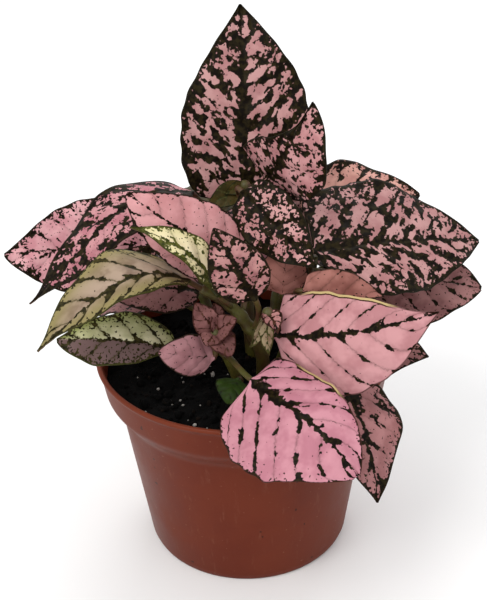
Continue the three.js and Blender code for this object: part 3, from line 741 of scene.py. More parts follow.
@dataclass
class Shape:
    """A mesh in the making: points in millimetres, faces, and the number pairs kept at each point."""

    points: list[np.ndarray] = field(default_factory=list)
    faces: list[np.ndarray] = field(default_factory=list)
    slots: list[np.ndarray] = field(default_factory=list)
    blade: list[np.ndarray] = field(default_factory=list)
    rib: list[np.ndarray] = field(default_factory=list)
    span: list[np.ndarray] = field(default_factory=list)

    @property
    def size(self) -> int:
        """Returns how many points it holds."""
        return sum(len(p) for p in self.points)

    def add(
        self,
        points: np.ndarray,
        faces: Iterable[tuple[np.ndarray, int]],
        blade: np.ndarray | None = None,
        rib: np.ndarray | None = None,
        span: np.ndarray | None = None,
    ) -> None:
        """Adds points with the faces among them.

        Args:
            points: One row of x, y and z for each point.
            faces: Arrays of point numbers, three or four to a face, each with its material slot.
            blade: Millimetres along and across the blade, for each point.
            rib: Vein number and millimetres to the margin, for each point.
            span: Shares of the blade's length and of its half width, for each point.
        """
        start = self.size
        for corners, slot in faces:
            self.faces.append(corners + start)
            self.slots.append(np.full(len(corners), slot))
        self.points.append(points)
        self.blade.append(np.zeros((len(points), 2)) if blade is None else blade)
        self.rib.append(np.full((len(points), 2), FAR_INSIDE) if rib is None else rib)
        self.span.append(np.zeros((len(points), 2)) if span is None else span)

    def make(self, name: str, materials: Sequence[bpy.types.Material]) -> bpy.types.Object:
        """Turns the shape into a smooth-shaded object.

        Args:
            name: The object's name.
            materials: Its materials, by slot.

        Returns:
            The object, linked to the scene.
        """
        mesh = bpy.data.meshes.new(name)
        points = np.concatenate(self.points) * MM
        corners = np.concatenate([f.ravel() for f in self.faces]).astype(np.int32)
        counts = np.concatenate([np.full(len(f), f.shape[1]) for f in self.faces])
        starts = np.concatenate([[0], np.cumsum(counts)[:-1]]).astype(np.int32)
        mesh.vertices.add(len(points))
        mesh.vertices.foreach_set("co", points.astype(np.float32).ravel())
        mesh.loops.add(len(corners))
        mesh.loops.foreach_set("vertex_index", corners)
        mesh.polygons.add(len(counts))
        mesh.polygons.foreach_set("loop_start", starts)
        mesh.polygons.foreach_set("material_index", np.concatenate(self.slots).astype(np.int32))
        mesh.polygons.foreach_set("use_smooth", np.ones(len(counts), dtype=bool))
        mesh.update(calc_edges=True)
        for layer, values in (("blade", self.blade), ("rib", self.rib), ("span", self.span)):
            pairs = np.concatenate(values)[corners].astype(np.float32)
            mesh.uv_layers.new(name=layer).data.foreach_set("uv", pairs.ravel())
        mesh.validate()
        for material in materials:
            mesh.materials.append(material)
        piece = bpy.data.objects.new(name, mesh)
        bpy.context.scene.collection.objects.link(piece)
        return piece


def grid_faces(rows: int, columns: int, closed: bool) -> np.ndarray:
    """Quads over a grid of points, row by row.

    Args:
        rows: How many rows of points.
        columns: How many points to a row.
        closed: Whether each row is a ring.

    Returns:
        Point numbers, four to a face.
    """
    wide = columns if closed else columns - 1
    i, k = np.meshgrid(np.arange(rows - 1), np.arange(wide), indexing="ij")
    following = (k + 1) % columns
    here, above = i * columns, (i + 1) * columns
    quads = (here + k, here + following, above + following, above + k)
    return np.stack([q.ravel() for q in quads], axis=1)


def close_rings(rings: Sequence[np.ndarray], foot: np.ndarray, head: np.ndarray) -> Shape:
    """Builds a closed body from rings of points, with a fan of faces at each end.

    Args:
        rings: The rings from the foot up, each of as many points.
        foot: The middle of the first ring's fan.
        head: The middle of the last ring's fan.

    Returns:
        The body.
    """
    count, sides = len(rings), len(rings[0])
    ring = np.arange(sides)
    following = (ring + 1) % sides
    middle = np.full(sides, count * sides)
    last = (count - 1) * sides
    lower = np.stack([middle, following, ring], axis=1)
    upper = np.stack([middle + 1, last + ring, last + following], axis=1)
    shape = Shape()
    faces = [(grid_faces(count, sides, True), 0), (lower, 0), (upper, 0)]
    shape.add(np.concatenate([*rings, [foot, head]]), faces)
    return shape


@dataclass
class Skin:
    """A thin closed body between an upper and a lower sheet of matching points.

    The layers are the number pairs at its points, and the first rows are the stalk.
    """

    upper: np.ndarray
    lower: np.ndarray
    layers: tuple[np.ndarray, np.ndarray, np.ndarray]
    stalk_rows: int

    def add_to(self, shape: Shape, above: int = UPPER_SLOT) -> None:
        """Adds the body to a shape, with the stalk's own slot on its stalk.

        Args:
            shape: The shape that takes it.
            above: Slot of its upper side. The under side takes the next.
        """
        rows, across = self.upper.shape[:2]
        grid = np.arange(rows * across).reshape(rows, across)
        below = grid + rows * across
        edge_stalk = np.arange(rows - 1) < self.stalk_rows
        stalk = np.repeat(edge_stalk, across - 1)
        top = np.stack([grid[:-1, :-1], grid[1:, :-1], grid[1:, 1:], grid[:-1, 1:]], axis=-1)
        under = np.stack([below[:-1, :-1], below[:-1, 1:], below[1:, 1:], below[1:, :-1]], axis=-1)
        top, under = top.reshape(-1, 4), under.reshape(-1, 4)
        right = np.stack([grid[:-1, 0], below[:-1, 0], below[1:, 0], grid[1:, 0]], axis=-1)
        left = np.stack([grid[:-1, -1], grid[1:, -1], below[1:, -1], below[:-1, -1]], axis=-1)
        start = np.stack([grid[0, :-1], grid[0, 1:], below[0, 1:], below[0, :-1]], axis=-1)
        end = np.stack([grid[-1, :-1], below[-1, :-1], below[-1, 1:], grid[-1, 1:]], axis=-1)
        faces = [
            (top[~stalk], above),
            (top[stalk], STALK_SLOT),
            (under[~stalk], above + 1),
            (under[stalk], STALK_SLOT),
            (start, STALK_SLOT),
            (end, above),
        ]
        for side in (right, left):
            faces += [(side[~edge_stalk], above), (side[edge_stalk], STALK_SLOT)]
        points = np.concatenate([self.upper.reshape(-1, 3), self.lower.reshape(-1, 3)])
        faces = [(f, slot) for f, slot in faces if len(f)]
        shape.add(points, faces, *(np.tile(layer.reshape(-1, 2), (2, 1)) for layer in self.layers))


# ---------- Curves ----------


@dataclass(frozen=True)
class Curve:
    """A smooth curve through points, evened by the square root of their distances."""

    points: tuple[Triple, ...]

    def point(self, t: float) -> np.ndarray:
        """Finds the point at a share of the curve.

        Args:
            t: The share, from 0 at its start to 1 at its end.

        Returns:
            The point.
        """
        spots = [np.array(p, float) for p in self.points]
        last = len(spots) - 1
        place = last * t
        index = min(int(place), last - 1)
        share = place - index
        one, two = spots[index], spots[index + 1]
        before = spots[index - 1] if index > 0 else 2 * spots[0] - spots[1]
        after = spots[index + 2] if index + 2 <= last else 2 * spots[last] - spots[last - 1]
        pairs = ((before, one), (one, two), (two, after))
        first, middle, final = (math.sqrt(np.linalg.norm(b - a)) for a, b in pairs)
        step = (two - one) / middle
        leave = (one - before) / first - (two - before) / (first + middle) + step
        arrive = step - (after - one) / (middle + final) + (after - two) / final
        return hermite(one, leave * middle, two, arrive * middle, share)

    def tangent(self, t: float) -> np.ndarray:
        """Returns the direction at a share of the curve."""
        low, high = max(t - 1e-4, 0.0), min(t + 1e-4, 1.0)
        return unit(self.point(high) - self.point(low))


def hermite(
    start: np.ndarray, leave: np.ndarray, end: np.ndarray, arrive: np.ndarray, t: float
) -> np.ndarray:
    """Returns the point at a share t of a curve that leaves start and arrives at end as given."""
    eased = 3 * t * t - 2 * t**3
    return start * (1 - eased) + leave * (t**3 - 2 * t * t + t) + end * eased + arrive * (t**3 - t * t)


@dataclass(frozen=True)
class Stem:
    """A stem: points on its axis from the soil upwards, and its radius at the foot and at the top."""

    name: str
    points: tuple[Triple, ...]
    radius: Pair
    root_depth: float = 26.0  # how far its root end reaches down into the soil
    root_steps: int = 5
    swelling: float = 0.45  # how far it swells where a stalk leaves it
    swelling_reach: float = 0.025  # the same along it, as a share of its length
    ridges: float = 0.05  # how far its four soft ridges stand out, as a share of its radius
    rounding: float = 0.25  # height of its rounded top
    sides: int = 20
    steps: int = 48

    @property
    def curve(self) -> Curve:
        """Returns its axis above the soil."""
        return Curve(self.points)

    def radius_at(self, t: float) -> float:
        """Returns the radius at a share of its axis."""
        return self.radius[0] + (self.radius[1] - self.radius[0]) * t

    def shape(self, joints: Sequence[float]) -> Shape:
        """Builds the stem with its root.

        Args:
            joints: Shares of the axis where a stalk leaves it, which swell a little.

        Returns:
            Its shape.
        """
        foot, above = np.array(self.points[0], float), np.array(self.points[1], float)
        lean = unit(foot - above)
        up = np.linspace(0, 1, self.root_steps + 1)[:-1]
        centres = [foot + lean * self.root_depth * (1 - s) for s in up]
        radii = [self.radius[0] * (0.5 + 0.5 * s) for s in up]
        for t in np.linspace(0, 1, self.steps):
            swell = sum(math.exp(-(((t - j) / self.swelling_reach) ** 2)) for j in joints)
            centres.append(self.curve.point(t))
            radii.append(self.radius_at(t) + self.swelling * min(swell, 1.0))
        top, top_radius = centres[-1], radii[-1]
        end = self.curve.tangent(1.0)
        for s in (0.5, 0.85, 0.98):
            centres.append(top + end * self.rounding * s)
            radii.append(top_radius * math.sqrt(1 - s * s))
        return tube(np.array(centres), np.array(radii), self.sides, self.ridges)


def tube(centres: np.ndarray, radii: np.ndarray, sides: int, ridges: float = 0.0) -> Shape:
    """Builds a round body along a line of centres.

    Args:
        centres: The centre of each ring.
        radii: The radius of each ring.
        sides: Points to a ring.
        ridges: How far four soft ridges stand out, as a share of the radius.

    Returns:
        The closed body.
    """
    along = unit(np.gradient(centres, axis=0))
    side = unit(np.array([1.0, 0, 0]) - along[0] * along[0][0])
    angles = 2 * np.pi * np.arange(sides) / sides
    rings = []
    for centre, direction, radius in zip(centres, along, radii):
        side = unit(side - direction * side.dot(direction))
        other = np.cross(direction, side)
        reach = radius * (1 - ridges + ridges * np.cos(4 * angles))
        sideways = np.outer(reach * np.cos(angles), side)
        rings.append(centre + sideways + np.outer(reach * np.sin(angles), other))
    return close_rings(rings, centres[0], centres[-1])


# ---------- Leaves ----------


@dataclass(frozen=True)
class Blade:
    """A blade: its place, its outline and how it bends.

    The pairs are for its left and right halves. bow is how far the midrib arches and early how far
    towards the base the arch peaks. sweep curves it sideways, fold raises the halves (degrees), wave is
    the height of the margin's waves, a smaller blunt is a fuller base, a smaller taper a fuller tip and
    a smaller widest a half widest nearer its base. lobe is how far each half reaches back past the base.
    """

    base: Triple
    tip: Triple
    face: Triple
    half: Pair
    bow: float = 1.0
    early: float = 0.0
    sweep: float = 0.0
    fold: Pair = (0.0, 0.0)
    wave: float = 0.3
    blunt: Pair = (BASE_FULLNESS, BASE_FULLNESS)
    taper: Pair = (TIP_TAPER, TIP_TAPER)
    widest: Pair = (WIDEST_POINT, WIDEST_POINT)
    lobe: Pair = (0.0, 0.0)

    @property
    def length(self) -> float:
        """Returns the distance from base to tip."""
        return math.dist(self.base, self.tip)

    def frame(self, u: np.ndarray) -> tuple[np.ndarray, np.ndarray, np.ndarray, np.ndarray]:
        """Measures the midrib.

        Args:
            u: Shares of the blade's length.

        Returns:
            Points on the midrib, and the directions along it, across it and out of it.
        """
        base = np.array(self.base, float)
        chord = unit(np.array(self.tip, float) - base)
        face = np.array(self.face, float)
        up = unit(face - chord * face.dot(chord))
        left = np.cross(up, chord)
        rise = 4 * u * (1 - u) * (1 + self.early * (1 - 2 * u))
        slope = 4 * (1 - 2 * u) * (1 + self.early * (1 - 2 * u)) - 8 * self.early * u * (1 - u)
        point = base + np.outer(self.length * u, chord) + np.outer(rise, self.bow * up + self.sweep * left)
        along = unit(chord * self.length + np.outer(slope, self.bow * up + self.sweep * left))
        side = unit(left - along * (along @ left)[:, None])
        return point, along, side, np.cross(along, side)

    def half_width(self, u: np.ndarray, half: int) -> np.ndarray:
        """Measures how wide one half is.

        Args:
            u: Shares of the blade's length.
            half: 0 for the left half, 1 for the right.

        Returns:
            Its width at each share.
        """
        arc = np.maximum(np.sin(np.pi * u ** self.widest[half]), 0)
        power = self.blunt[half] + (BASE_FULLNESS + self.taper[half] - self.blunt[half]) * u
        return self.half[half] * arc**power

    def sheet(self, u: np.ndarray, v: np.ndarray, drop: np.ndarray) -> np.ndarray:
        """Places points on the blade.

        Args:
            u: Shares of the length.
            v: Places across, from the right margin (-1) to the left (1).
            drop: How far each point lies under the upper side.

        Returns:
            The points, row by row.
        """
        point, along, side, normal = self.frame(u)
        left = v >= 0
        half = np.where(left, self.half_width(u, 0)[:, None], self.half_width(u, 1)[:, None])
        fold = np.radians(np.where(left, self.fold[0], self.fold[1]))
        out = half * np.abs(v)
        phase = 2 * np.pi * MARGIN_WAVES * u[:, None] + np.where(left, 0.0, WAVE_OFFSET)
        ripple = self.wave * v * v * np.sin(phase) * np.sqrt(np.sin(np.pi * u))[:, None]
        lift = out * np.sin(fold) - MARGIN_DROOP * half * v * v + ripple - drop / np.cos(fold)
        reach = np.sign(v) * out * np.cos(fold)
        lobe = np.where(left, self.lobe[0] / self.half[0], self.lobe[1] / self.half[1])
        back = (lobe * half * v * v * (1 - u[:, None]) ** 4)[..., None]
        spread = side[:, None] * reach[..., None] + normal[:, None] * lift[..., None]
        return point[:, None] + spread - along[:, None] * back


class Detail(Enum):
    """How finely a leaf is meshed: rows of points along it, and points across it."""

    LARGE = (84, 57)
    MEDIUM = (60, 41)
    SMALL = (30, 21)


class Venation:
    """The side veins of a blade, in pairs that arch towards its tip, and what they do to its surface."""

    CURVE = 0.3  # how strongly a vein arches
    STAGGER = 0.22  # how far the right half's veins stand off the left half's, in veins
    FIRST = 0.37  # where the first vein stands, in veins
    UNEVEN = 19.0  # how often the margin dips slowly along the blade
    SEED_STEP = 2.3  # how far apart these dips are set on two blades

    def __init__(self, blade: Blade, seed: int) -> None:
        """Sets out the veins.

        Args:
            blade: The blade they run over.
            seed: A whole number that sets this blade apart.
        """
        self.blade = blade
        self.pairs = max(blade.length / VEIN_SPACING, 3.5)
        self.lean = max(blade.half) / math.tan(VEIN_ANGLE) / blade.length
        self.seed = seed

    def phase(self, u: np.ndarray, v: np.ndarray) -> np.ndarray:
        """Numbers the veins.

        Args:
            u: Shares of the blade's length.
            v: Places across it.

        Returns:
            The number of the vein at each point, whole on a vein.
        """
        reach = np.abs(v) * (1 - self.CURVE + self.CURVE * np.abs(v))
        start = u[:, None] - self.lean * reach * (1 - 0.5 * u[:, None])
        return self.pairs * start + np.where(v >= 0, 0.0, self.STAGGER) + self.FIRST

    def margin(self, u: np.ndarray, v: np.ndarray) -> np.ndarray:
        """Draws the margin in a little at each vein's end.

        Args:
            u: Shares of the blade's length.
            v: Places across it.

        Returns:
            How full the blade is at each point, as a share.
        """
        ends = self.phase(u, np.sign(v + 1e-9))
        dips = 0.5 + 0.5 * np.cos(2 * np.pi * ends)
        slow = np.sin(self.UNEVEN * u[:, None] + self.SEED_STEP * self.seed + np.sign(v))
        return 1 - SCALLOP * dips - 0.5 * SCALLOP * (1 + slow)

    def relief(self, u: np.ndarray, v: np.ndarray, half: np.ndarray) -> np.ndarray:
        """Presses the veins into the upper side and puckers the blade between them.

        Args:
            u: Shares of the blade's length.
            v: Places across it.
            half: Width of the half that each point lies on.

        Returns:
            How deep each point lies under the blade's smooth form, in millimetres.
        """
        phase = self.phase(u, v)
        to_vein = np.abs((phase + 0.5) % 1 - 0.5)
        pucker = PUCKER * (0.5 + 0.5 * np.cos(2 * np.pi * to_vein)) * (1 - 0.6 * v * v)
        vein = VEIN_DEPTH * np.exp(-((to_vein * VEIN_SPACING / VEIN_WIDTH) ** 2))
        shape = (pucker + vein) * (1 - v**6) * smooth(0.02, 0.15, u)[:, None]
        groove = GROOVE * np.exp(-((half * v / MIDRIB_WIDTH) ** 2)) * (1 - u)[:, None]
        wander = WANDER * (1 + np.sin(0.9 * half * v + 31 * u[:, None] + self.seed))
        share = min(self.blade.length / FULL_RELIEF, 1.0)
        return (shape + groove + wander * (1 - v**6)) * share


@dataclass(frozen=True)
class Leaf:
    """A leaf: its blade, the stem it grows from and how far up, and its finish."""

    name: str
    stem: str
    at: float
    blade: Blade
    finish: LeafFinish

    def stalk(self, stem: Stem) -> Way:
        """Returns its stalk's centres and directions, from inside the stem to the blade's base."""
        point, along, _, _ = self.blade.frame(np.array([0.0]))
        return stalk_line(stem, self.at, point[0], along[0])

    def shape(self, stem: Stem, seed: int) -> Shape:
        """Builds the leaf with its stalk.

        Args:
            stem: The stem it grows from.
            seed: Sets its markings apart.

        Returns:
            Its shape.
        """
        detail = Detail.LARGE if self.blade.length > LARGE_LEAF else Detail.MEDIUM
        shape = Shape()
        leaf_skin(self.blade, self.stalk(stem), detail, seed).add_to(shape)
        return shape


def stalk_line(stem: Stem, at: float, goal: np.ndarray, arrive: np.ndarray) -> Way:
    """Lays out a stalk.

    Args:
        stem: The stem it leaves.
        at: How far up the stem.
        goal: Where it ends.
        arrive: The direction it ends in.

    Returns:
        Centres and directions, from just inside the stem's skin to the goal.
    """
    foot, axis = stem.curve.point(at), stem.curve.tangent(at)
    towards = goal - foot
    out = unit(towards - axis * towards.dot(axis))
    if at == 1:
        start, out = foot + axis * (FIT_GAP - STALK_SUNK), axis
    else:
        start = foot + out * (stem.radius_at(at) - STALK_SUNK)
    reach = np.linalg.norm(goal - start)
    leave, end = unit(out + STALK_LEAN * axis) * reach, arrive * reach
    spots = [hermite(start, leave, goal, end, t) for t in np.linspace(0, 1, PETIOLE_STEPS + 1)]
    ways = unit(np.gradient(np.array(spots), axis=0))
    ways[0], ways[-1] = out, arrive
    return list(zip(spots, ways))


def stalk_section(
    centre: np.ndarray, side: np.ndarray, normal: np.ndarray, across: int
) -> np.ndarray:
    """Makes a round slice of a stalk.

    Args:
        centre: Its middle.
        side: The direction across it.
        normal: The direction up through it.
        across: How many points its upper and its lower half have.

    Returns:
        The upper points and the lower ones, as two rows.
    """
    angle = np.pi * (1 - (np.arange(across) + 0.5) / across)
    flat = centre + np.outer(PETIOLE_RADIUS * np.cos(angle), side)
    rise = np.outer(PETIOLE_RADIUS * np.sin(angle), normal)
    return np.stack([flat + rise, flat - rise])


def leaf_skin(blade: Blade, stalk: Way, detail: Detail, seed: int) -> Skin:
    """Builds a leaf's skin, from a round stalk to a thin blade with sunken veins.

    Args:
        blade: The blade.
        stalk: Centres and directions along the stalk, which may be empty.
        detail: How finely it is meshed.
        seed: Sets its markings apart.

    Returns:
        The skin.
    """
    along_rows, across = detail.value
    v = np.linspace(-1, 1, across)
    even = np.linspace(0, 1, along_rows)
    crowded = END_CROWDING * (1 - np.cos(np.pi * even)) / 2
    u = BLADE_END * ((1 - END_CROWDING) * even + crowded)
    veins = Venation(blade, seed)
    reach = veins.margin(u, v)
    half = np.where(v >= 0, blade.half_width(u, 0)[:, None], blade.half_width(u, 1)[:, None])
    sunk = veins.relief(u, v, half)
    body = (BLADE_THICKNESS - MARGIN_THICKNESS) * (1 - v**4) * (1 - TIP_THINNING * u[:, None])
    thick = MARGIN_THICKNESS + body
    ridge = MIDRIB_DEPTH * np.exp(-((half * v / MIDRIB_WIDTH) ** 2)) * (1 - u)[:, None]
    upper = blade.sheet(u, v * reach, sunk)
    lower = blade.sheet(u, v * reach, np.maximum(thick + ridge, sunk + LEAST_THICKNESS))
    point, _, side, normal = blade.frame(u)
    for i in np.flatnonzero(u < BLADE_START):
        crest, trough = stalk_section(point[i], side[i], normal[i], across)
        share = float(smooth(0.0, BLADE_START, u[i]))
        upper[i] = crest + (upper[i] - crest) * share
        lower[i] = trough + (lower[i] - trough) * share
    along = np.broadcast_to((u * blade.length)[:, None], half.shape) + SEED_SHIFT * seed
    layers = (
        np.stack([along, half * reach * v], axis=-1),
        np.stack([veins.phase(u, v), half * reach * (1 - np.abs(v))], axis=-1),
        np.stack([np.broadcast_to(u[:, None], half.shape), np.broadcast_to(v, half.shape)], axis=-1),
    )
    rows = []
    for centre, way in stalk[:-1]:
        level = unit(side[0] - way * side[0].dot(way))
        rows.append(stalk_section(centre, level, np.cross(way, level), across))
    if rows:
        upper = np.concatenate([np.stack([r[0] for r in rows]), upper])
        lower = np.concatenate([np.stack([r[1] for r in rows]), lower])
        blank = np.zeros((len(rows), across, 2))
        layers = tuple(np.concatenate([blank, layer]) for layer in layers)
    return Skin(upper, lower, layers, len(rows))


@dataclass(frozen=True)
class Shoot:
    """A tuft of young leaves at the end of a short side stalk."""

    name: str
    stem: str
    at: float
    crown: Triple
    leaves: tuple[Blade, ...]
    finish: LeafFinish
    first_finish: LeafFinish | None = None  # finish of the first leaf, where it differs
    stalk_radius: float = 1.1
    bud_radius: float = 1.9
    sides: int = 16
    bud_rings: int = 9

    def materials(self) -> list[bpy.types.Material]:
        """Dresses the tuft.

        Returns:
            Its materials, by slot.
        """
        made = [*self.finish.both_sides(), SHOOT_SKIN.material()]
        if self.first_finish:
            made += self.first_finish.both_sides()
        return made

    def shape(self, stem: Stem, seed: int) -> Shape:
        """Builds the tuft.

        Args:
            stem: The stem it grows from.
            seed: Sets its markings apart.

        Returns:
            Its shape.
        """
        crown = np.array(self.crown, float)
        foot = stem.curve.point(self.at)
        line = stalk_line(stem, self.at, crown, unit(crown - foot))
        stalk = tube(np.array([c for c, _ in line]), np.full(len(line), self.stalk_radius), self.sides)
        heights = np.linspace(-0.98, 0.98, self.bud_rings)
        centres = np.array([crown + [0, 0, self.bud_radius * z] for z in heights])
        bud = tube(centres, self.bud_radius * np.sqrt(1 - heights**2), self.sides)
        shape = Shape()
        for part in (stalk, bud):
            shape.add(part.points[0], [(faces, STALK_SLOT) for faces in part.faces])
        for index, blade in enumerate(self.leaves):
            above = FIRST_LEAF_SLOT if self.first_finish and index == 0 else UPPER_SLOT
            leaf_skin(blade, (), Detail.SMALL, seed + index).add_to(shape, above)
        return shape


STEMS: tuple[Stem, ...] = (
    Stem("stem_crown", ((3, 4, 68), (2, 6, 92), (4, 8, 116), (5, 6, 134)), (2.4, 1.5)),
    Stem(
        "stem_left", ((6, -16, 68), (6, -21, 86), (2, -24, 98.5), (-5, -24, 108), (-13, -23, 113)),
        (2.4, 1.8),
    ),
    Stem("stem_right", ((12, -3, 68), (17, -9, 88), (21, -13, 104), (24, -12, 118)), (2.3, 1.4)),
    Stem("stem_front", ((-2, -19, 68), (-3, -24, 80), (-6, -27, 90), (-8, -29, 97)), (2, 1.3)),
    Stem("stem_back_left", ((-8, 8, 68), (-14, 14, 90), (-19, 17, 110)), (2.2, 1.4)),
    Stem("stem_back_right", ((9, 14, 68), (14, 22, 90), (18, 28, 110)), (2.2, 1.4)),
)

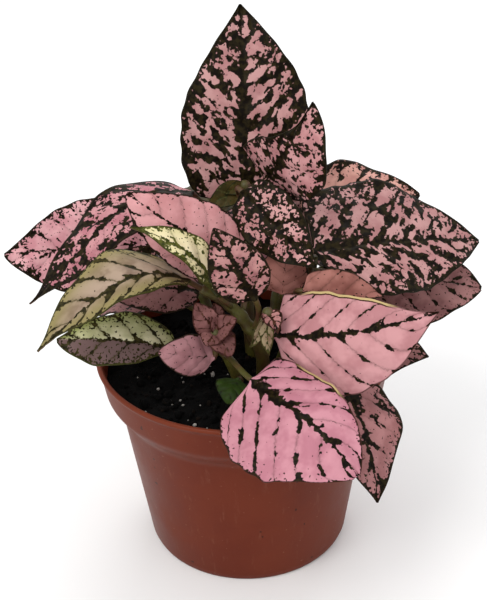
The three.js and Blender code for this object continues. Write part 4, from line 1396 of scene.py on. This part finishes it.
LEAVES: tuple[Leaf, ...] = (
    Leaf(
        "leaf_crown_tall", "stem_crown", 0.82,
        Blade(
            (3, 11, 128), (2, 30, 191), (0, -1, 0.3), (22.8, 23), bow=3, fold=(10, 10), wave=1,
            blunt=(0.3, 0.45), taper=(0.45, 0.33), widest=(0.6, 0.716),
        ),
        CROWN_DARK,
    ),
    Leaf(
        "leaf_crown_front", "stem_crown", 0.93,
        Blade(
            (9, 0, 141), (22.5, -22, 175), (0.1, -0.8, 0.8), (13, 17.2), bow=3, sweep=-2, fold=(6, 10),
            wave=1, blunt=(0.1, 0.45), taper=(1.6, 0.1), widest=(0.3, 0.95),
        ),
        CROWN_SPECKLED,
    ),
    Leaf(
        "leaf_crown_hanging", "stem_crown", 0.84,
        Blade(
            (1, -9, 140.5), (24, -28, 122), (-0.4, -0.8, 0.5), (10.4, 10.3), bow=2, fold=(5, 5),
            wave=0.8, blunt=(0.3, 0.4), taper=(0.5, 0.3),
        ),
        CROWN_HANGING,
    ),
    Leaf(
        "leaf_crown_back", "stem_crown", 0.78,
        Blade((10, 20, 128), (8, 55, 146), (0, -0.3, 1), (15, 15), bow=4, fold=(8, 8), wave=1),
        CROWN_DARK,
    ),
    Leaf(
        "leaf_crown_low_left", "stem_crown", 0.62,
        Blade((-6, 20, 119), (-24, 50, 115), (0, 0, 1), (12, 12), bow=4, fold=(8, 8), wave=1),
        OLIVE,
    ),
    Leaf(
        "leaf_crown_low_right", "stem_crown", 0.58,
        Blade((10, 20, 118), (28, 50, 117), (0, 0, 1), (12, 12), bow=4, fold=(8, 8), wave=1),
        SHADED_PINK,
    ),
    Leaf(
        "leaf_right_large", "stem_right", 0.94,
        Blade(
            (23, -20, 124), (84, 12, 109.6), (0.1, -0.6, 0.8), (25.2, 20), bow=4, fold=(2, 4), wave=1.2,
            blunt=(0.2, 0.9), taper=(0.42, 0.25),
        ),
        BROAD_DARK,
    ),
    Leaf(
        "leaf_right_behind", "stem_back_right", 0.9,
        Blade(
            (22, 12, 118), (64, 22, 123.5), (0, -0.5, 0.8), (21.4, 17), bow=3, fold=(4, 4), wave=1.2,
            taper=(0.25, 0.3),
        ),
        PEACH_SPECKLED,
    ),
    Leaf(
        "leaf_right_lower", "stem_back_right", 0.6,
        Blade(
            (38, 6, 101), (84, 2, 96), (0, -0.5, 0.8), (18, 20), bow=3, fold=(4, 4), wave=1.2,
            taper=(0.2, 0.15),
        ),
        SHADED_PINK,
    ),
    Leaf(
        "leaf_right_inner", "stem_right", 0.66,
        Blade(
            (19.5, -26.4, 113), (46, -27.2, 110.4), (0, -0.95, 0.3), (8.5, 2.2), bow=2, fold=(4, 4),
            wave=0.8, blunt=(0.3, 0.62),
        ),
        SHADED_INNER_PINK,
    ),
    Leaf(
        "leaf_right_short", "stem_right", 0.58,
        Blade(
            (13, -18.5, 108), (15.5, -16, 126), (0, -0.9, 0.4), (8.4, 8), bow=1, fold=(4, 4), wave=0.4,
            blunt=(0.2, 0.4),
        ),
        SHADED_INNER_PINK,
    ),
    Leaf(
        "leaf_right_under", "stem_right", 0.3,
        Blade((33, -16, 86), (62, -24, 85), (0, -0.5, 0.8), (12, 12), bow=3, fold=(4, 4), wave=1),
        SHADED_PINK,
    ),
    Leaf(
        "leaf_right_low", "stem_back_right", 0.35,
        Blade((28, 14, 89), (64, 20, 80), (0, 0, 1), (14, 14), bow=4, fold=(6, 6), wave=1),
        SHADED_PINK,
    ),
    Leaf(
        "leaf_front_right", "stem_right", 0.5,
        Blade(
            (10, -32, 100), (59, -52, 119), (0, -0.95, 0.35), (13.8, 20.5), bow=3, sweep=-2,
            fold=(-19, 4), wave=0.8, blunt=(0.02, 0.5), widest=(0.45, 0.716),
        ),
        VEINED_SOFT,
    ),
    Leaf(
        "leaf_front_low", "stem_front", 0.7,
        Blade(
            (2.3, -43.5, 90.8), (33, -78, 78), (0, -0.8, 0.6), (14.5, 24.5), bow=6, early=-0.5, sweep=2,
            fold=(-15, 0), wave=1, blunt=(0.12, 0.35), taper=(0, 0), lobe=(5, 6),
        ),
        VEINED_PINK,
    ),
    Leaf(
        "leaf_front_side", "stem_right", 0.35,
        Blade((30, -33, 86), (41, -64, 56), (0.4, -0.6, 0.6), (16, 16), bow=6, fold=(0, 0), wave=1.2),
        SHADED_SPECKLED,
    ),
    Leaf(
        "leaf_front_green", "stem_front", 0.25,
        Blade(
            (-2, -33, 84), (-6, -41, 80), (0, -0.6, 0.8), (6.5, 6.5), bow=2, fold=(0, 0), wave=0.2,
            taper=(0.1, 0.1),
        ),
        PLAIN_GREEN,
    ),
    Leaf(
        "leaf_front_small", "stem_front", 0.95,
        Blade(
            (-10, -30, 91), (-27, -40, 100), (0, -0.9, 0.4), (7, 7.5), bow=1.5, fold=(0, 0), wave=0.2,
            taper=(0, 0),
        ),
        SMALL_PINK,
    ),
    Leaf(
        "leaf_centre", "stem_left", 0.5,
        Blade(
            (4, -32.5, 114), (-8, -38, 142), (0, -1, 0.3), (9.5, 9.5), bow=2, fold=(6, 6), wave=0.6,
            taper=(0.2, 0.2),
        ),
        CENTRE_PINK,
    ),
    Leaf(
        "leaf_left_far", "stem_back_left", 0.75,
        Blade(
            (-34, 24, 106), (-82, 6, 113), (0, -0.8, 0.6), (18, 18), bow=2, fold=(4, 4), wave=1.2,
            taper=(0.05, 0.5),
        ),
        FAR_PINK,
    ),
    Leaf(
        "leaf_left_broad", "stem_back_left", 0.97,
        Blade(
            (-16, 12, 131), (-69, -26, 111), (0, -0.1, 1), (12, 12.5), bow=10.5, early=0.8,
            fold=(-6, 4), wave=1.2, blunt=(0.6, 0.3), taper=(0.5, 0.7),
        ),
        SPECKLED_PINK,
    ),
    Leaf(
        "leaf_left_upper", "stem_left", 0.62,
        Blade(
            (0, -15.7, 118), (-35, -20.7, 146.7), (0, -0.9, 0.45), (12, 13), bow=3, sweep=1,
            fold=(4, 4), wave=0.8, taper=(0, 0.25),
        ),
        UPPER_PINK,
    ),
    Leaf(
        "leaf_left_arched", "stem_left", 1,
        Blade(
            (-17, -25, 117), (-63, -52, 109), (0, -0.25, 0.95), (7, 15), bow=12, early=0.5,
            fold=(-4, 4), wave=1, blunt=(0.5, 0.2), taper=(0.9, 0.5),
        ),
        CREAM_VEINED,
    ),
    Leaf(
        "leaf_left_strip", "stem_left", 0.72,
        Blade(
            (-7, -28, 113), (-34, -30, 139.5), (0.6, -0.4, 0.7), (5, 9), bow=7, fold=(4, 4), wave=0.5,
        ),
        CREAM_YELLOW,
    ),
    Leaf(
        "leaf_left_tucked", "stem_back_left", 0.8,
        Blade(
            (-27.5, -15.8, 123.6), (-57, -34.5, 113), (0, -0.87, 0.5), (6, 4.8), bow=2, sweep=-2,
            fold=(4, 4), wave=0.6,
        ),
        SHADED_PINK,
    ),
    Leaf(
        "leaf_left_shaded", "stem_left", 0.6,
        Blade((-14, -6, 103), (-50, -6, 104), (0, -0.5, 0.8), (10, 11), bow=3, fold=(4, 4), wave=0.8),
        SHADED_PINK,
    ),
    Leaf(
        "leaf_left_folded", "stem_front", 0.85,
        Blade(
            (-22, -25, 92), (-60.5, -31, 100.5), (0, -0.5, 0.85), (8.5, 11), bow=3, fold=(-25, 5),
            wave=0.6, taper=(0, 0.3), widest=(1.3, 0.716),
        ),
        GREEN_CREAM,
    ),
    Leaf(
        "leaf_left_low", "stem_back_left", 0.35,
        Blade((-26, 14, 89), (-60, 20, 80), (0, 0, 1), (14, 14), bow=4, fold=(6, 6), wave=1),
        SHADED_PINK,
    ),
    Leaf(
        "leaf_back_left_high", "stem_back_left", 0.88,
        Blade((-18, 32, 100), (-38, 66, 92), (-0.2, 0.3, 1), (18, 18), bow=6, fold=(6, 6), wave=1.2),
        CROWN_DARK,
    ),
    Leaf(
        "leaf_back_left_low", "stem_back_left", 0.5,
        Blade((-20, 28, 90), (-46, 60, 76), (-0.2, 0.3, 1), (17, 17), bow=6, fold=(6, 6), wave=1.2),
        SPECKLED_PINK,
    ),
    Leaf(
        "leaf_back_middle_high", "stem_back_left", 0.96,
        Blade((-3, 26, 108), (3, 72, 102), (0, 0, 1), (19, 19), bow=7, fold=(6, 6), wave=1.2),
        CROWN_SPECKLED,
    ),
    Leaf(
        "leaf_back_middle_low", "stem_back_right", 0.4,
        Blade((12, 32, 93), (10, 70, 80), (0, 0.3, 1), (16, 16), bow=6, fold=(6, 6), wave=1.2),
        VEINED_PINK,
    ),
    Leaf(
        "leaf_back_right_high", "stem_back_right", 0.96,
        Blade((26, 36, 108), (50, 70, 102), (0.2, 0.3, 1), (18, 18), bow=7, fold=(6, 6), wave=1.2),
        SPECKLED_PINK,
    ),
    Leaf(
        "leaf_back_right_low", "stem_back_right", 0.5,
        Blade((30, 30, 91), (60, 52, 78), (0.2, 0.3, 1), (16, 16), bow=6, fold=(6, 6), wave=1.2),
        CROWN_DARK,
    ),
)

SHOOTS: tuple[Shoot, ...] = (
    Shoot(
        "shoot_front", "stem_front", 1, (-9, -31, 101),
        (
            Blade(
                (-9, -31, 101), (-15, -32, 113), (0.3, -1, 0.2), (5, 4.5), fold=(10, 10),
                taper=(0.1, 0.1),
            ),
            Blade((-9, -31, 101), (-9, -27, 110), (0.9, -0.9, 0), (4, 4), fold=(20, 20), taper=(0, 0)),
            Blade(
                (-9, -31, 101), (-2, -34, 108), (-0.4, -0.7, 0.6), (4.5, 5), fold=(25, 25), taper=(0, 0),
            ),
            Blade((-9, -31, 101), (-4, -39, 97), (0.2, -0.8, 0.7), (5, 5), fold=(20, 20), taper=(0, 0)),
            Blade(
                (-9, -31, 101), (-12, -37, 100), (0, -0.6, 0.8), (4.5, 4.5), fold=(15, 15), taper=(0, 0),
            ),
        ),
        YOUNG_PINK,
    ),
    Shoot(
        "shoot_centre", "stem_left", 0.42, (8, -31, 108),
        (
            Blade((8, -31, 108), (11, -39, 105), (0.2, -0.8, 0.7), (4, 4), fold=(30, 30)),
            Blade((8, -31, 108), (8, -38, 96), (-0.4, -0.9, 0.2), (3.5, 3), fold=(30, 30)),
            Blade((8, -31, 108), (2, -36, 98), (0.5, -0.8, 0.3), (3, 3), fold=(25, 25)),
        ),
        YOUNG_CREAM, YOUNG_SPECKLED,
    ),
    Shoot(
        "shoot_crown", "stem_crown", 1, (2, 6, 136),
        (
            Blade((2, 6, 136), (-11.5, 0.5, 130.5), (0.3, -0.7, 0.7), (4.4, 4.4), fold=(15, 15)),
            Blade((2, 6, 136), (-5, 2.5, 134.5), (0.4, -0.6, 0.6), (2.6, 2.6), fold=(30, 30)),
        ),
        YOUNG_GREEN,
    ),
)


# ---------- Pot and soil ----------


def turned(profile: Sequence[Pair], sectors: int) -> Shape:
    """Turns a profile about the Z axis.

    Args:
        profile: Radius and height of each point; the first and the last lie on the axis.
        sectors: Points to a ring.

    Returns:
        The closed body.
    """
    angles = 2 * np.pi * np.arange(sectors) / sectors
    circle = np.stack([np.sin(angles), -np.cos(angles)], axis=1)
    rings = [np.column_stack([r * circle, np.full(sectors, z)]) for r, z in profile[1:-1]]
    foot, head = (np.array([0.0, 0.0, profile[end][1]]) for end in (0, -1))
    return close_rings(rings, foot, head)


@dataclass(frozen=True)
class Pot:
    """The nursery pot: a turned shell with a flared collar, a rolled lip and drain holes."""

    height: float = 77.0
    rim_radius: float = 52.5
    base_radius: float = 37.0
    collar_height: float = 16.0
    collar_foot_radius: float = 49.4
    body_top_radius: float = 45.6
    collar_blend: float = 9.0
    wall: float = 1.5
    lip_round: float = 0.9
    lip_proud: float = 0.6
    floor: float = 1.8
    floor_rise: float = 1.2  # how far the inner corner rises from the floor
    foot_round: float = 0.9
    ground_radius: float = 20.0  # of the middle ring of points in the flat floor
    drain_holes: int = 6
    drain_radius: float = 3.5
    drain_circle: float = 26.0
    drill_length: float = 6.0
    drill_sides: int = 32
    sectors: int = 200
    finish: PlasticFinish = PlasticFinish()

    @property
    def collar_foot(self) -> float:
        """Returns the height at which the collar begins."""
        return self.height - self.collar_height

    def radius(self, z: float) -> float:
        """Measures the outer surface, without the lip.

        Args:
            z: A height.

        Returns:
            The radius there.
        """
        foot = self.collar_foot
        wall = self.base_radius + (self.body_top_radius - self.base_radius) * z / foot
        flare = (self.rim_radius - self.lip_proud - self.collar_foot_radius) / self.collar_height
        collar = self.collar_foot_radius + flare * (z - foot)
        half_blend = self.collar_blend / 2
        share = float(smooth(foot - half_blend, foot + half_blend, z))
        return wall + (collar - wall) * share

    def profile(self) -> list[Pair]:
        """Draws the outline of the shell.

        Returns:
            Its radius and height at each point, from under the floor round to its top.
        """
        half_blend = self.collar_blend / 2
        bend = np.linspace(self.collar_foot - half_blend - 0.4, self.collar_foot + half_blend + 0.4, 16)
        below = np.linspace(8, bend[0] - 3, 10)
        above = np.linspace(bend[-1] + 1.5, self.height - 3, 6)
        heights = [2.0, 3.0, *below, *bend, *above]
        under = [(0.0, 0.0), (self.ground_radius, 0.0), (self.base_radius - 1.6, 0.0)]
        corner = [
            (self.base_radius - 1.2 + 1.0 * math.sin(a), self.foot_round - self.foot_round * math.cos(a))
            for a in np.linspace(0, 1.5, 7)
        ]
        outer = [(self.radius(z), z) for z in heights]
        middle = (self.rim_radius - self.lip_round, self.height - self.lip_round)
        lip = [
            (middle[0] + self.lip_round * math.cos(a), middle[1] + self.lip_round * math.sin(a))
            for a in np.radians(np.linspace(-80, 150, 15))
        ]
        inner = [(self.radius(z) - self.wall, z) for z in [self.height - 2.4, *reversed(heights[2:])]]
        inside = self.base_radius - self.wall
        floor = [
            (inside + 0.4, self.floor + self.floor_rise),
            (inside - 1, self.floor),
            (self.ground_radius, self.floor),
            (0.0, self.floor),
        ]
        return [*under, *corner, *outer, *lip, *inner, *floor]

    def drills(self) -> Shape:
        """Sets out the drills that bore the drain holes.

        Returns:
            All the drills in one shape.
        """
        drills = Shape()
        length, radius = self.drill_length, self.drain_radius
        outline = [(0, 0), (radius, 0), (radius, length), (0, length)]
        for index in range(self.drain_holes):
            angle = 2 * math.pi * (index + 0.5) / self.drain_holes
            centre = (self.drain_circle * math.cos(angle), self.drain_circle * math.sin(angle), -2.0)
            drill = turned(outline, self.drill_sides)
            drills.add(drill.points[0] + np.array(centre), [(f, 0) for f in drill.faces])
        return drills

    def build(self) -> bpy.types.Object:
        """Makes the shell and bores its drain holes.

        Returns:
            The pot.
        """
        plastic = self.finish.material(self.height)
        shell = turned(self.profile(), self.sectors).make("nursery_pot", [plastic])
        cutter = self.drills().make("drill", [plastic])
        bore = shell.modifiers.new("drain_holes", "BOOLEAN")
        bore.operation, bore.solver, bore.object = "DIFFERENCE", "EXACT", cutter
        graph = bpy.context.evaluated_depsgraph_get()
        bored = bpy.data.meshes.new_from_object(shell.evaluated_get(graph))
        shell.modifiers.clear()
        shell.data = bored
        bpy.data.objects.remove(cutter)
        return shell


@dataclass(frozen=True)
class Lumps:
    """One kind of lump in the soil: how many there are, their radii and where they lie."""

    count: int
    smallest: float
    largest: float
    centre: Pair = (0.0, 0.0)
    spread: float = 45.0  # how far from the centre they reach


@dataclass
class Soil:
    """Potting mix: an uneven top with crumbs, bark and perlite."""

    stems: Sequence[Stem]
    pot: Pot = Pot()
    level: float = 68.5
    bump: float = 1.1
    grain: float = 0.9  # height of the fine crumb on the surface
    grain_scale: float = 0.42
    mound: float = 0.9  # how far the soil is drawn up round each stem
    mound_reach: float = 26.0  # how far round the stem, in square millimetres
    sectors: int = 150
    steps: int = 48
    crumbs: Lumps = Lumps(620, 0.35, 1.7)
    bark_crumbs: Lumps = Lumps(124, 0.3, 1.3)
    perlite_grains: Lumps = Lumps(30, 0.3, 0.9, (-22.0, -22.0), 24.0)
    rng: np.random.Generator = field(default_factory=lambda: np.random.default_rng(41))
    # the potting mix is painted near black: its own dark colour plus painted shade from the leaves above
    dark: GrainFinish = GrainFinish("potting_mix", srgb(3, 3, 3), srgb(14, 10, 9))
    bark: GrainFinish = GrainFinish("bark_crumb", srgb(16, 11, 8), srgb(44, 32, 23), 1500)
    perlite: GrainFinish = GrainFinish("perlite", srgb(150, 146, 140), srgb(214, 210, 204), 1800, 0.2)

    def height(self, x: float, y: float) -> float:
        """Measures the top, without its fine crumb.

        Args:
            x: A place to the right.
            y: A place to the back.

        Returns:
            The height there.
        """
        broad = math.sin(0.31 * x + 0.6) * math.cos(0.27 * y - 0.4)
        fine = math.sin(0.62 * x - 0.45 * y + 1.3)
        feet = [stem.points[0] for stem in self.stems]
        mounds = sum(math.exp(-(((x - f[0]) ** 2 + (y - f[1]) ** 2) / self.mound_reach)) for f in feet)
        return self.level + self.bump * (0.6 * broad + 0.36 * fine) + self.mound * min(mounds, 1.0)

    def crumb(self, x: float, y: float) -> float:
        """Returns the height of the fine crumb at a place."""
        spot = Vector((x * self.grain_scale, y * self.grain_scale, 3.0))
        return self.grain * noise.fractal(spot, 0.7, 2.1, 4)

    def bed(self) -> Shape:
        """Builds the body of the soil, from the pot's floor to its top.

        Returns:
            Its shape.
        """
        pot, foot = self.pot, self.pot.floor + FIT_GAP
        below = np.linspace(foot + 4, pot.collar_foot - 3, 8)
        bend = np.linspace(pot.collar_foot - 2.2, pot.collar_foot + 2.4, 8)
        wall = [(pot.radius(z) - pot.wall - FIT_GAP, z) for z in [*below, *bend, self.level - 1.5]]
        inside = pot.base_radius - pot.wall
        start = [(0.0, foot), (inside - 1.4, foot), (inside + 0.1, foot + pot.floor_rise)]
        reach = pot.radius(self.level) - pot.wall - 0.12
        top = [(r, self.level) for r in np.linspace(reach, 0.6, self.steps)]
        shape = turned([*start, *wall, *top, (0.0, self.level)], self.sectors)
        points = shape.points[0]
        for row in np.flatnonzero(points[:, 2] == self.level):
            x, y, _ = points[row]
            points[row, 2] = self.height(x, y) + self.crumb(x, y)
        return shape

    def lumps(self, kind: Lumps) -> Shape:
        """Scatters irregular lumps over the top.

        Args:
            kind: Which lumps.

        Returns:
            All the lumps in one shape.
        """
        ball, faces = unit_ball()
        shape = Shape()
        reach = self.pot.radius(self.level) - self.pot.wall - 1.6
        while shape.size < kind.count * len(ball):
            angle = self.rng.uniform(0, 2 * math.pi)
            away = kind.spread * math.sqrt(self.rng.uniform(0, 1))
            x, y = kind.centre[0] + away * math.cos(angle), kind.centre[1] + away * math.sin(angle)
            radius = kind.smallest + (kind.largest - kind.smallest) * self.rng.uniform(0, 1) ** 2.5
            if math.hypot(x, y) + radius > reach:
                continue
            offset = self.rng.uniform(0, 90, 3)
            bumps = np.array([noise.noise(Vector(p * 1.4 + offset)) for p in ball])
            stretch = self.rng.uniform(0.6, 1.25, 3)
            points = ball * (1 + 0.5 * bumps[:, None]) * stretch * radius
            lift = self.height(x, y) + self.crumb(x, y) + 0.25 * radius
            shape.add(points + np.array([x, y, lift]), [(faces, 0)])
        return shape

    def build(self) -> list[bpy.types.Object]:
        """Makes the bed of soil and what lies on it.

        Returns:
            The pieces.
        """
        return [
            self.bed().make("soil_bed", [self.dark.material()]),
            self.lumps(self.crumbs).make("soil_crumbs", [self.dark.material()]),
            self.lumps(self.bark_crumbs).make("bark_crumbs", [self.bark.material()]),
            self.lumps(self.perlite_grains).make("perlite_grains", [self.perlite.material()]),
        ]


def unit_ball() -> tuple[np.ndarray, np.ndarray]:
    """Builds a fine round ball of radius 1.

    Returns:
        Its points and its faces.
    """
    mesh = bpy.data.meshes.new("lump")
    builder = bmesh.new()
    bmesh.ops.create_icosphere(builder, subdivisions=2, radius=1.0)
    builder.to_mesh(mesh)
    builder.free()
    points = np.array([v.co[:] for v in mesh.vertices])
    faces = np.array([p.vertices[:] for p in mesh.polygons])
    bpy.data.meshes.remove(mesh)
    return points, faces


# ---------- The whole plant ----------


@dataclass
class PottedPlant:
    """The plant in its pot: every piece, in place of the node that it stands for."""

    slots: dict[str, str]
    pot: Pot = Pot()
    stems: tuple[Stem, ...] = STEMS
    leaves: tuple[Leaf, ...] = LEAVES
    shoots: tuple[Shoot, ...] = SHOOTS

    def stem(self, name: str) -> Stem:
        """Finds a stem by name."""
        return next(s for s in self.stems if s.name == name)

    def place(self, piece: bpy.types.Object, node: str) -> None:
        """Seats a piece on the body and lets it stand for a node of the frame.

        Args:
            piece: The piece.
            node: The node that the piece stands for, which is hidden.
        """
        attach(piece, ROOT)
        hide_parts(node)
        log.info("%s stands for %s, %d faces", piece.name, node, len(piece.data.polygons))

    def build_pot(self) -> None:
        """Makes the pot and its soil."""
        self.place(self.pot.build(), "pot")
        for piece in Soil(self.stems, self.pot).build():
            self.place(piece, "soil")

    def build_stems(self) -> None:
        """Makes the stems."""
        for stem in self.stems:
            joints = [p.at for p in (*self.leaves, *self.shoots) if p.stem == stem.name and p.at < 1]
            piece = stem.shape(joints).make(f"{stem.name}_skin", [STEM_SKIN.material()])
            self.place(piece, stem.name)

    def build_leaves(self) -> None:
        """Makes the leaves and the young shoots."""
        for seed, leaf in enumerate(self.leaves):
            shape = leaf.shape(self.stem(leaf.stem), seed)
            materials = [*leaf.finish.both_sides(), PETIOLE_SKIN.material()]
            self.place(shape.make(f"{leaf.name}_blade", materials), leaf.name)
        for seed, shoot in enumerate(self.shoots):
            shape = shoot.shape(self.stem(shoot.stem), FIRST_SHOOT_SEED + 10 * seed)
            self.place(shape.make(f"{shoot.name}_tuft", shoot.materials()), shoot.name)

    def build(self) -> None:
        """Makes the whole plant."""
        self.build_pot()
        self.build_stems()
        self.build_leaves()


# ---------- Studio ----------


@dataclass(frozen=True)
class StudioCamera:
    """A camera on a circle about a target. Lengths are millimetres, angles degrees."""

    target: Triple = (0.4, 0.0, 95.3)
    distance: float = 400.0
    elevation: float = 29.66
    roll: float = -1.7
    focal_length: float = 46.008
    film_height: float = 24.0
    clip: Pair = (0.01, 50.0)  # nearest and farthest distance that it sees, in metres

    def build(self) -> None:
        """Makes the camera and looks through it."""
        rise = math.radians(self.elevation)
        back = Vector((0, -math.cos(rise), math.sin(rise)))
        right = Vector((1, 0, 0))
        up = back.cross(right)
        turn = math.radians(self.roll)
        axes = (
            right * math.cos(turn) + up * math.sin(turn),
            up * math.cos(turn) - right * math.sin(turn),
            back,
        )
        data = bpy.data.cameras.new("studio_camera")
        data.sensor_fit = "VERTICAL"
        data.sensor_height = self.film_height
        data.lens = self.focal_length
        data.clip_start, data.clip_end = self.clip
        camera = bpy.data.objects.new("studio_camera", data)
        bpy.context.scene.collection.objects.link(camera)
        spot = (Vector(self.target) + back * self.distance) * MM
        rotation = Matrix([[a[row] for a in axes] for row in range(3)]).to_4x4()
        camera.matrix_world = Matrix.Translation(spot) @ rotation
        bpy.context.scene.camera = camera
        log.info("camera at %s", tuple(round(c, 4) for c in spot))


@dataclass(frozen=True)
class SoftLight:
    """A square area light that looks at the plant. Places and sizes are metres."""

    name: str
    spot: Triple
    size: float
    power: float
    tint: Triple = (1.0, 1.0, 1.0)
    target: Triple = (0.0, 0.0, 0.09)

    def build(self) -> None:
        """Makes the light."""
        data = bpy.data.lights.new(self.name, "AREA")
        data.shape, data.size, data.energy, data.color = "SQUARE", self.size, self.power, self.tint
        light = bpy.data.objects.new(self.name, data)
        bpy.context.scene.collection.objects.link(light)
        light.location = self.spot
        view = Vector(self.target) - Vector(self.spot)
        light.rotation_euler = view.to_track_quat("-Z", "Y").to_euler()


@dataclass(frozen=True)
class Studio:
    """Floor, lights and camera."""

    floor_side: float = 30.0  # in metres
    ambient: float = 0.8
    lights: tuple[SoftLight, ...] = (
        SoftLight("key", (-0.5, -0.6, 1.0), 0.6, 7.0, (1.0, 0.985, 0.96)),
        SoftLight("fill", (0.8, -0.6, 0.6), 0.8, 1.5),
        SoftLight("back", (0.2, 0.8, 0.9), 0.7, 5.0),
    )

    def build(self) -> None:
        """Makes the studio."""
        half = self.floor_side / 2 / MM
        shape = Shape()
        corners = [(x * half, y * half, 0.0) for x, y in ((-1, -1), (1, -1), (1, 1), (-1, 1))]
        shape.add(np.array(corners), [(np.array([[0, 1, 2, 3]]), 0)])
        floor = shape.make("studio_floor", [FloorFinish().material()])
        scene = bpy.context.scene
        scene.world = bpy.data.worlds.new("studio_sky")
        scene.world.use_nodes = True
        sky = scene.world.node_tree.nodes["Background"]
        sky.inputs["Color"].default_value = (1.0, 1.0, 1.0, 1.0)
        sky.inputs["Strength"].default_value = self.ambient
        scene.view_settings.view_transform = "Standard"
        for light in self.lights:
            light.build()
        StudioCamera().build()


def main() -> None:
    """Builds the plant round the frame, and the studio round the plant."""
    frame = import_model()
    slots = {part["node"]: part["material_slot"] for part in frame["record"]["subparts"]}
    PottedPlant(slots).build()
    Studio().build()


if __name__ == "__main__":
    main()
